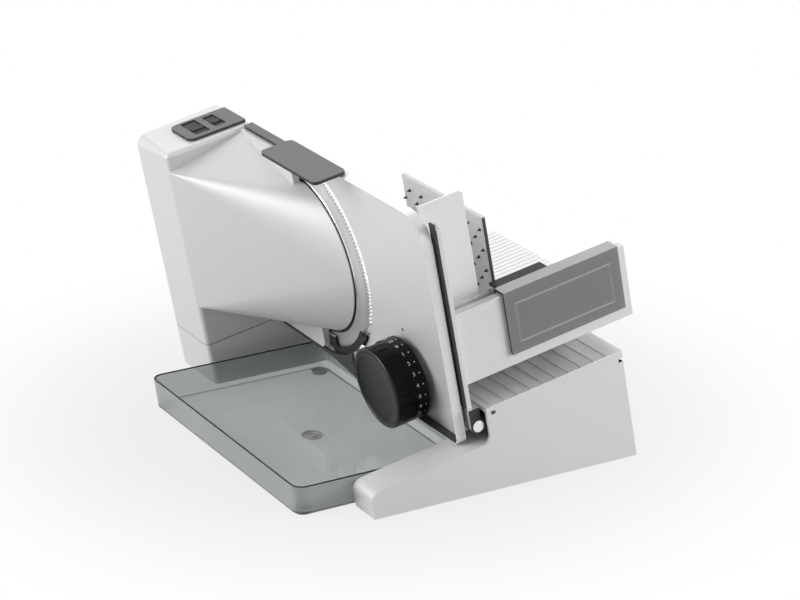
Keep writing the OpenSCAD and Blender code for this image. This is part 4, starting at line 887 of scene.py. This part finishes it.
@dataclass
class StopPlate(Assembly):
    """Stop plate with its carrier, pins and pointer."""

    body: str = "plate"
    fold_x: Pair = (138.7, 145.7)
    fold_y: Pair = (-17.0, 64.0)
    fold_z: float = 15.72
    lining_height: float = 0.5
    lining_edge: float = 0.15
    mark_at: Triple = (145.98, 56.0, 88.4)
    mark_reach: float = 1.8

    def build(self) -> None:
        """Dresses the stop plate."""
        self.skin("stop_plate", PLATE_SILVER, 0.5, edge=SILVER_EDGE_HIGHLIGHT)
        self.skins(("plate_carrier", ALUMINIUM), ("plate_pins", CHROME, 0.4), ("dial_axle", CHROME))
        self.pointer()
        self.lining()

    def lining(self) -> None:
        """A thin black sheet in the plate's lower fold, in front of the cam arm's slot: painted shade inside
        the fold.
        """
        (left, right), (near, far) = self.fold_x, self.fold_y
        corners = [(x, y, self.fold_z) for x, y in ((left, near), (right, near), (right, far), (left, far))]
        lift = Vector((0, 0, self.lining_height))
        self.place(Bench.raised("fold_lining", corners, lift, self.lining_edge), BLACK)

    def pointer(self) -> None:
        """The small dark diamond above the dial."""
        x, y, z = self.mark_at
        corners = [(x, y + self.mark_reach * side, z + self.mark_reach * up)
                   for side, up in ((-1, 0), (0, -1), (1, 0), (0, 1))]
        self.place(Bench.raised("setting_pointer", corners, Vector((-PRINT_LIFT, 0, 0))), INK)


@dataclass
class Dial(Assembly):
    """Thickness dial with printed scale and grip pads."""

    body: str = "thickness_dial"
    centre_y: float = 51.0
    centre_z: float = 50.5
    radius: float = 34.5
    scale_x: float = 131.5
    dot_x: float = 136.3
    dot_radius: float = 0.5
    first_angle: float = 105.0
    step_angle: float = 15.65
    marks: int = 23
    numeral: float = 4.4
    print_height: float = 0.04
    pads: int = 5
    first_pad: float = 94.0
    groove_angle: float = 6.5
    groove_x: float = 115.5
    groove_l: float = 8.5
    groove_w: float = 1.5
    groove_depth: float = 0.8
    cutter_height: float = 3.0
    cutter_edge: float = 0.3

    def build(self) -> None:
        """Dresses the dial."""
        body = self.skin("dial", GLOSS, 0.5, angle=30)
        self.grip_grooves(body)
        # Painted highlight: the front face takes the lighter black.
        self.paint(body, DIAL_FACE_HIGHLIGHT, lambda centre, normal: normal.x < -SIDEWAYS)
        self.skin("dial_cam", CREAM, 0.0)
        self.scale_marks()

    def cutter(self, pad: int, side: int) -> Piece:
        """The tool of one groove.

        Args:
            pad: which pad.
            side: -1 or 1, the side of the pad's middle.

        Returns:
            The new object, in place.
        """
        angle = math.radians(self.first_pad + 360 / self.pads * pad + side * self.groove_angle)
        out = Vector((0, math.cos(angle), math.sin(angle)))
        across = Vector((0, -math.sin(angle), math.cos(angle))) * self.groove_w / 2
        low = Vector((self.groove_x, self.centre_y, self.centre_z)) + out * (self.radius - self.groove_depth)
        high = low + Vector((self.groove_l, 0, 0))
        corners = [tuple(corner) for corner in (low - across, high - across, high + across, low + across)]
        tool = Bench.raised(f"groove_{pad}_{side}", corners, out * self.cutter_height, self.cutter_edge)
        tool.data.transform(LEANING)
        return tool

    def grip_grooves(self, body: Piece) -> None:
        """Cuts two short grooves into each pad between the rim's hollows.

        Args:
            body: the dial.
        """
        tool = Bench.join([self.cutter(pad, side) for pad in range(self.pads) for side in (-1, 1)])
        Bench.take(body)
        cut = body.modifiers.new("grooves", "BOOLEAN")
        cut.operation = "DIFFERENCE"
        cut.object = tool
        cut.solver = "EXACT"
        bpy.ops.object.modifier_apply(modifier=cut.name)
        bpy.ops.object.shade_smooth_by_angle(angle=SMOOTH_ANGLE)
        bpy.data.objects.remove(tool)

    def around(self, piece: Piece, angle: float, x: float) -> None:
        """Wraps a flat mark onto the dial's rim.

        Args:
            piece: the mark, flat in its own XY plane, its top towards +Y.
            angle: place on the rim, in degrees from the far side towards the top.
            x: place along the dial's axis, in millimetres.
        """
        radius = (self.radius + PRINT_LIFT) * MM
        for point in piece.data.vertices:
            along, side, height = point.co
            turn = math.radians(angle) - side / radius
            reach = radius + height
            point.co = Vector((x * MM + along, self.centre_y * MM + reach * math.cos(turn),
                               self.centre_z * MM + reach * math.sin(turn)))

    def numeral_mark(self, number: int) -> Piece:
        """One printed number, flat.

        Args:
            number: what it says.

        Returns:
            The new mesh object.
        """
        Bench.clear()
        bpy.ops.object.text_add()
        text = bpy.context.object.data
        text.body = str(number)
        text.size = self.numeral * MM
        text.align_x = "CENTER"
        text.align_y = "CENTER"
        text.extrude = self.print_height * MM
        text.resolution_u = 3
        bpy.ops.object.convert(target="MESH")
        return bpy.context.object

    def scale_marks(self) -> None:
        """Numbers and dots along the rim."""
        parts: list[Piece] = []
        for number in range(self.marks):
            angle = self.first_angle + self.step_angle * number
            word = self.numeral_mark(number)
            self.around(word, angle, self.scale_x)
            dot = Bench.raised(f"dot_{number}", circle(0, 0, 0, self.dot_radius, 30),
                               Vector((0, 0, self.print_height)))
            self.around(dot, angle, self.dot_x)
            parts += [word, dot]
        scale = Bench.join(parts)
        scale.name = "dial_scale"
        self.place(scale, PRINT)


@dataclass
class Carriage(Assembly):
    """Carriage with its guard, shoe and runners."""

    body: str = "carriage"
    shoe_top_z: float = 43.0

    def build(self) -> None:
        """Dresses the carriage."""
        self.skin("carriage_wall", SILVER, 0.45, edge=SILVER_EDGE_HIGHLIGHT)
        self.skins(("carriage_glide", BLACK), ("carriage_platform", ALUMINIUM))
        self.skin("tall_guard", PLATE_SILVER, edge=SILVER_EDGE_HIGHLIGHT)
        shoe = self.skin("carriage_shoe", CHROME, 0.4)
        self.paint(shoe, BLACK, lambda centre, normal: normal.y < -FACING)
        # Painted highlight: the shoe's top faces take the lighter edge finish.
        self.paint(shoe, SILVER_EDGE_HIGHLIGHT, lambda centre, normal: normal.z > FACING
                   and centre.z > self.shoe_top_z)
        self.skin("carriage_runners", BLACK, 0.4)


@dataclass
class Holder(Assembly):
    """Remnant holder."""

    body: str = "holder"
    cap_top_z: float = 120.0
    top_slope: float = 0.95
    cap_side_x: float = 201.5
    spike_x: float = 205.8
    edge_x: Pair = (206.1, 208.9)
    edge_y: float = 6.5
    edge_z: Pair = (73.0, 180.5)
    edge_lift: float = 0.35
    edge_round: float = 0.1

    def build(self) -> None:
        """Dresses the holder."""
        # The cap's rounded edges carry a painted highlight, its top faces painted light and its left side
        # painted shade.
        cap = self.skin("holder_cap", DARK_SMOKE, 0.5, edge=SMOKE_EDGE_HIGHLIGHT)
        self.paint(cap, SMOKE_LIT_TOP, lambda centre, normal: normal.z > self.top_slope
                   and centre.z > self.cap_top_z)
        self.paint(cap, CAP_SIDE_SHADE, lambda centre, normal: normal.x < -FACING and centre.x < self.cap_side_x)
        self.skin("holder_arm", BLACK)
        plate = self.skin("spiked_plate", PALE_SMOKE, 0.2)
        self.paint(plate, BLACK, lambda centre, normal: centre.x < self.spike_x)
        self.dark_edge()

    def dark_edge(self) -> None:
        """The dark strip along the spiked plate's near edge."""
        (left, right), (low, high) = self.edge_x, self.edge_z
        corners = [(x, self.edge_y, z) for x, z in ((left, low), (right, low), (right, high), (left, high))]
        lift = Vector((0, -self.edge_lift, 0))
        self.place(Bench.raised("spike_edge", corners, lift, self.edge_round), BLACK)


@dataclass
class Tray(Assembly):
    """Clear slice tray."""

    body: str = "slice_tray"
    width: float = 168.0
    depth: float = 262.0
    height: float = 26.5
    lift: float = 1.0
    wall: float = 2.0
    floor: float = 1.8
    draft: float = 2.5
    corner: float = 12.0
    corner_steps: int = 8
    rim_edge: float = 0.8
    rim_angle: float = 50.0
    inner_edge: float = 1.5
    inner_slope: float = 0.1
    ring_sizes: Sizes = (9.0, 0.9, 1.8, 0.7)
    boss_sizes: Sizes = (4.5, 0.9, 1.2, 0.6)
    foot_sizes: Sizes = (7.0, 0.5, 1.3, 0.4)
    pad_radius: float = 6.6
    pad_edge: float = 0.2

    def outline(self) -> Outline:
        """The rounded bottom outline.

        Returns:
            Its points, anticlockwise, in millimetres.
        """
        radius = self.corner - self.draft
        points: Outline = []
        for corner, (x, y) in enumerate(((1, 1), (0, 1), (0, 0), (1, 0))):
            centre_x = (self.width - self.corner) if x else self.corner
            centre_y = (self.depth - self.corner) if y else self.corner
            for step in range(self.corner_steps + 1):
                turn = math.radians(corner * 90 + step * 90 / self.corner_steps)
                across, along = radius * math.cos(turn), radius * math.sin(turn)
                points.append((centre_x + across, centre_y + along, self.lift))
        return points

    def low_ring(self, name: str, x: float, y: float, sizes: Sizes) -> None:
        """A low ring on the tray's floor.

        Args:
            name: name of the new object.
            x: centre across the machine.
            y: centre along it.
            sizes: radius, height, wall and the depth of the hollow.
        """
        radius, height, wall, depth = sizes
        ring = Bench.cup(name, circle(x, y, self.lift + self.floor, radius), height, wall, depth)
        self.place(ring, SMOKE_LINE, STANDING)

    def build(self) -> None:
        """Makes the tray by hand: walls, rim, feet and the ring in its floor."""
        rise, inner = self.height - self.lift, self.lift + self.floor + self.inner_edge
        shell = Bench.cup("tray_shell", self.outline(), rise, self.wall, rise - self.floor, self.draft)
        # Painted shade: the rounded rim edges take the near-black edge finish.
        for finish in (SMOKE, TRAY_EDGE_SHADE):
            shell.data.materials.append(finish.build())
        Bench.soften(shell, self.rim_edge, self.rim_angle, segments=1, edge_slot=1)
        self.place(shell, SMOKE, STANDING)
        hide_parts("tray")
        # The floor's inner edges go back to clear smoke, without the painted shade.
        self.paint(shell, SMOKE, lambda centre, normal: centre.z < inner and normal.z > self.inner_slope,
                   STANDING)
        self.low_ring("tray_ring", self.width / 2, self.depth / 2, self.ring_sizes)
        self.low_ring("tray_boss", self.width / 2, self.depth / 2, self.boss_sizes)
        side = self.draft + self.foot_sizes[0] + self.wall
        feet = [(x, y) for y in (side, self.depth - side) for x in (side, self.width - side)]
        for index, (x, y) in enumerate(feet):
            self.low_ring(f"tray_foot_{index}", x, y, self.foot_sizes)
            pad = Bench.raised(f"tray_pad_{index}", circle(x, y, 0, self.pad_radius),
                               Vector((0, 0, self.lift)), self.pad_edge)
            self.place(pad, SMOKE, STANDING)


@dataclass(frozen=True)
class Studio:
    """Floor, lights and camera."""

    azimuth: float = 30.1
    elevation: float = 21.17
    focal_px: float = 2900.0
    picture_px: Pair = (800.0, 600.0)
    sensor: float = 36.0
    distance: float = 2166.0 * 1.04
    corner_px: Pair = (297.0, 520.0)
    floor_reach: float = 6.0
    floor_drop: float = 0.0002
    floor_tone: float = 0.34
    fade_reach: Pair = (0.16, 0.42)
    fade_level: Pair = (0.8, 1.0)
    dome: tuple[Pair, ...] = ((0.0, 0.08), (0.2, 0.2), (0.5, 0.45), (0.85, 0.3))
    aim: Triple = (0.0, 0.0, 0.08)
    lamps: tuple[tuple[str, Triple, float, float], ...] = (
        ("key", (-1.7, 0.4, 0.8), 1.3, 26), ("fill", (1.5, -1.1, 0.75), 1.0, 30),
        ("top", (0.5, 1.4, 1.5), 1.2, 7))

    def camera(self) -> None:
        """Puts the camera at the photograph's viewpoint."""
        side, up = math.radians(self.azimuth), math.radians(self.elevation)
        ahead = Vector((math.sin(side) * math.cos(up), math.cos(side) * math.cos(up), -math.sin(up)))
        right = Vector((math.cos(side), -math.sin(side), 0.0))
        down = ahead.cross(right)
        ray = (right * (self.corner_px[0] - self.picture_px[0] / 2)
               + down * (self.corner_px[1] - self.picture_px[1] / 2) + ahead * self.focal_px).normalized()
        data = bpy.data.cameras.new("view")
        data.lens = self.focal_px / self.picture_px[0] * self.sensor
        data.sensor_width = self.sensor
        camera = bpy.data.objects.new("view", data)
        bpy.context.scene.collection.objects.link(camera)
        camera.location = -ray * self.distance * MM - ORIGIN
        camera.rotation_euler = ahead.to_track_quat("-Z", "Y").to_euler()
        bpy.context.scene.camera = camera

    def floor(self) -> None:
        """A pale floor that turns to plain white away from the object."""
        Bench.clear()
        bpy.ops.mesh.primitive_circle_add(vertices=96, radius=self.floor_reach, fill_type="NGON",
                                          location=(0, 0, -self.floor_drop))
        floor = bpy.context.object
        floor.name = "floor"
        tone = self.floor_tone
        material, wiring, shader = principled("floor", {
            "Base Color": (tone, tone, tone, 1), "Roughness": 0.9, "Specular IOR Level": 0.1})
        glow = wiring.add("Emission", {"Strength": 1.0})
        mix = wiring.add("MixShader")
        place = wiring.add("TexCoord")
        length = wiring.add("VectorMath", operation="LENGTH", source=place.outputs["Object"])
        fade = wiring.spread(length.outputs["Value"], self.fade_reach, self.fade_level, smooth=True)
        plain = wiring.reckon("MULTIPLY", fade, wiring.backdrop_rays())
        wiring.join((plain, mix.inputs[0]), (shader.outputs[0], mix.inputs[1]),
                    (glow.outputs[0], mix.inputs[2]),
                    (mix.outputs[0], material.node_tree.nodes["Material Output"].inputs["Surface"]))
        floor.data.materials.append(material)

    def lamp(self, name: str, place: Triple, size: float, power: float) -> None:
        """A square soft light that points at the object.

        Args:
            name: its name.
            place: where it stands, in metres.
            size: its side, in metres.
            power: in watts.
        """
        data = bpy.data.lights.new(name, "AREA")
        data.shape = "SQUARE"
        data.size = size
        data.energy = power
        lamp = bpy.data.objects.new(name, data)
        bpy.context.scene.collection.objects.link(lamp)
        lamp.location = place
        lamp.rotation_euler = (Vector(self.aim) - Vector(place)).to_track_quat("-Z", "Y").to_euler()

    def lights(self) -> None:
        """World and lamps."""
        world = bpy.data.worlds.new("studio")
        bpy.context.scene.world = world
        world.use_nodes = True
        wiring = Wiring(world.node_tree)
        back = world.node_tree.nodes["Background"]
        wiring.fill(back, {"Color": (1, 1, 1, 1)})
        place = wiring.add("TexCoord")
        split = wiring.add("SeparateXYZ", source=place.outputs["Generated"])
        level = wiring.add("Mix")
        level.data_type = "FLOAT"
        wiring.fill(level, {"B": 1.0})
        wiring.join((wiring.backdrop_rays(), level.inputs["Factor"]),
                    (wiring.ramp(split.outputs["Z"], list(self.dome), ease=True), level.inputs["A"]),
                    (level.outputs[0], back.inputs["Strength"]))
        for row in self.lamps:
            self.lamp(*row)

    def build(self) -> None:
        """Sets the stage."""
        self.camera()
        self.floor()
        self.lights()
        bpy.context.scene.view_settings.view_transform = "Standard"


def main() -> None:
    """Loads the frame, builds every sub-assembly and sets the stage."""
    logging.basicConfig(level=logging.INFO, format="%(name)s %(message)s")
    bpy.ops.object.select_all(action="SELECT")
    bpy.ops.object.delete()
    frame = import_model()
    for kind in (Base, Tower, Drive, Blade, StopPlate, Dial, Carriage, Holder, Tray):
        assembly = kind(frame["nodes"])
        assembly.build()
        assembly.report()
    Studio().build()
    Bench.clear()


if __name__ == "__main__":
    main()
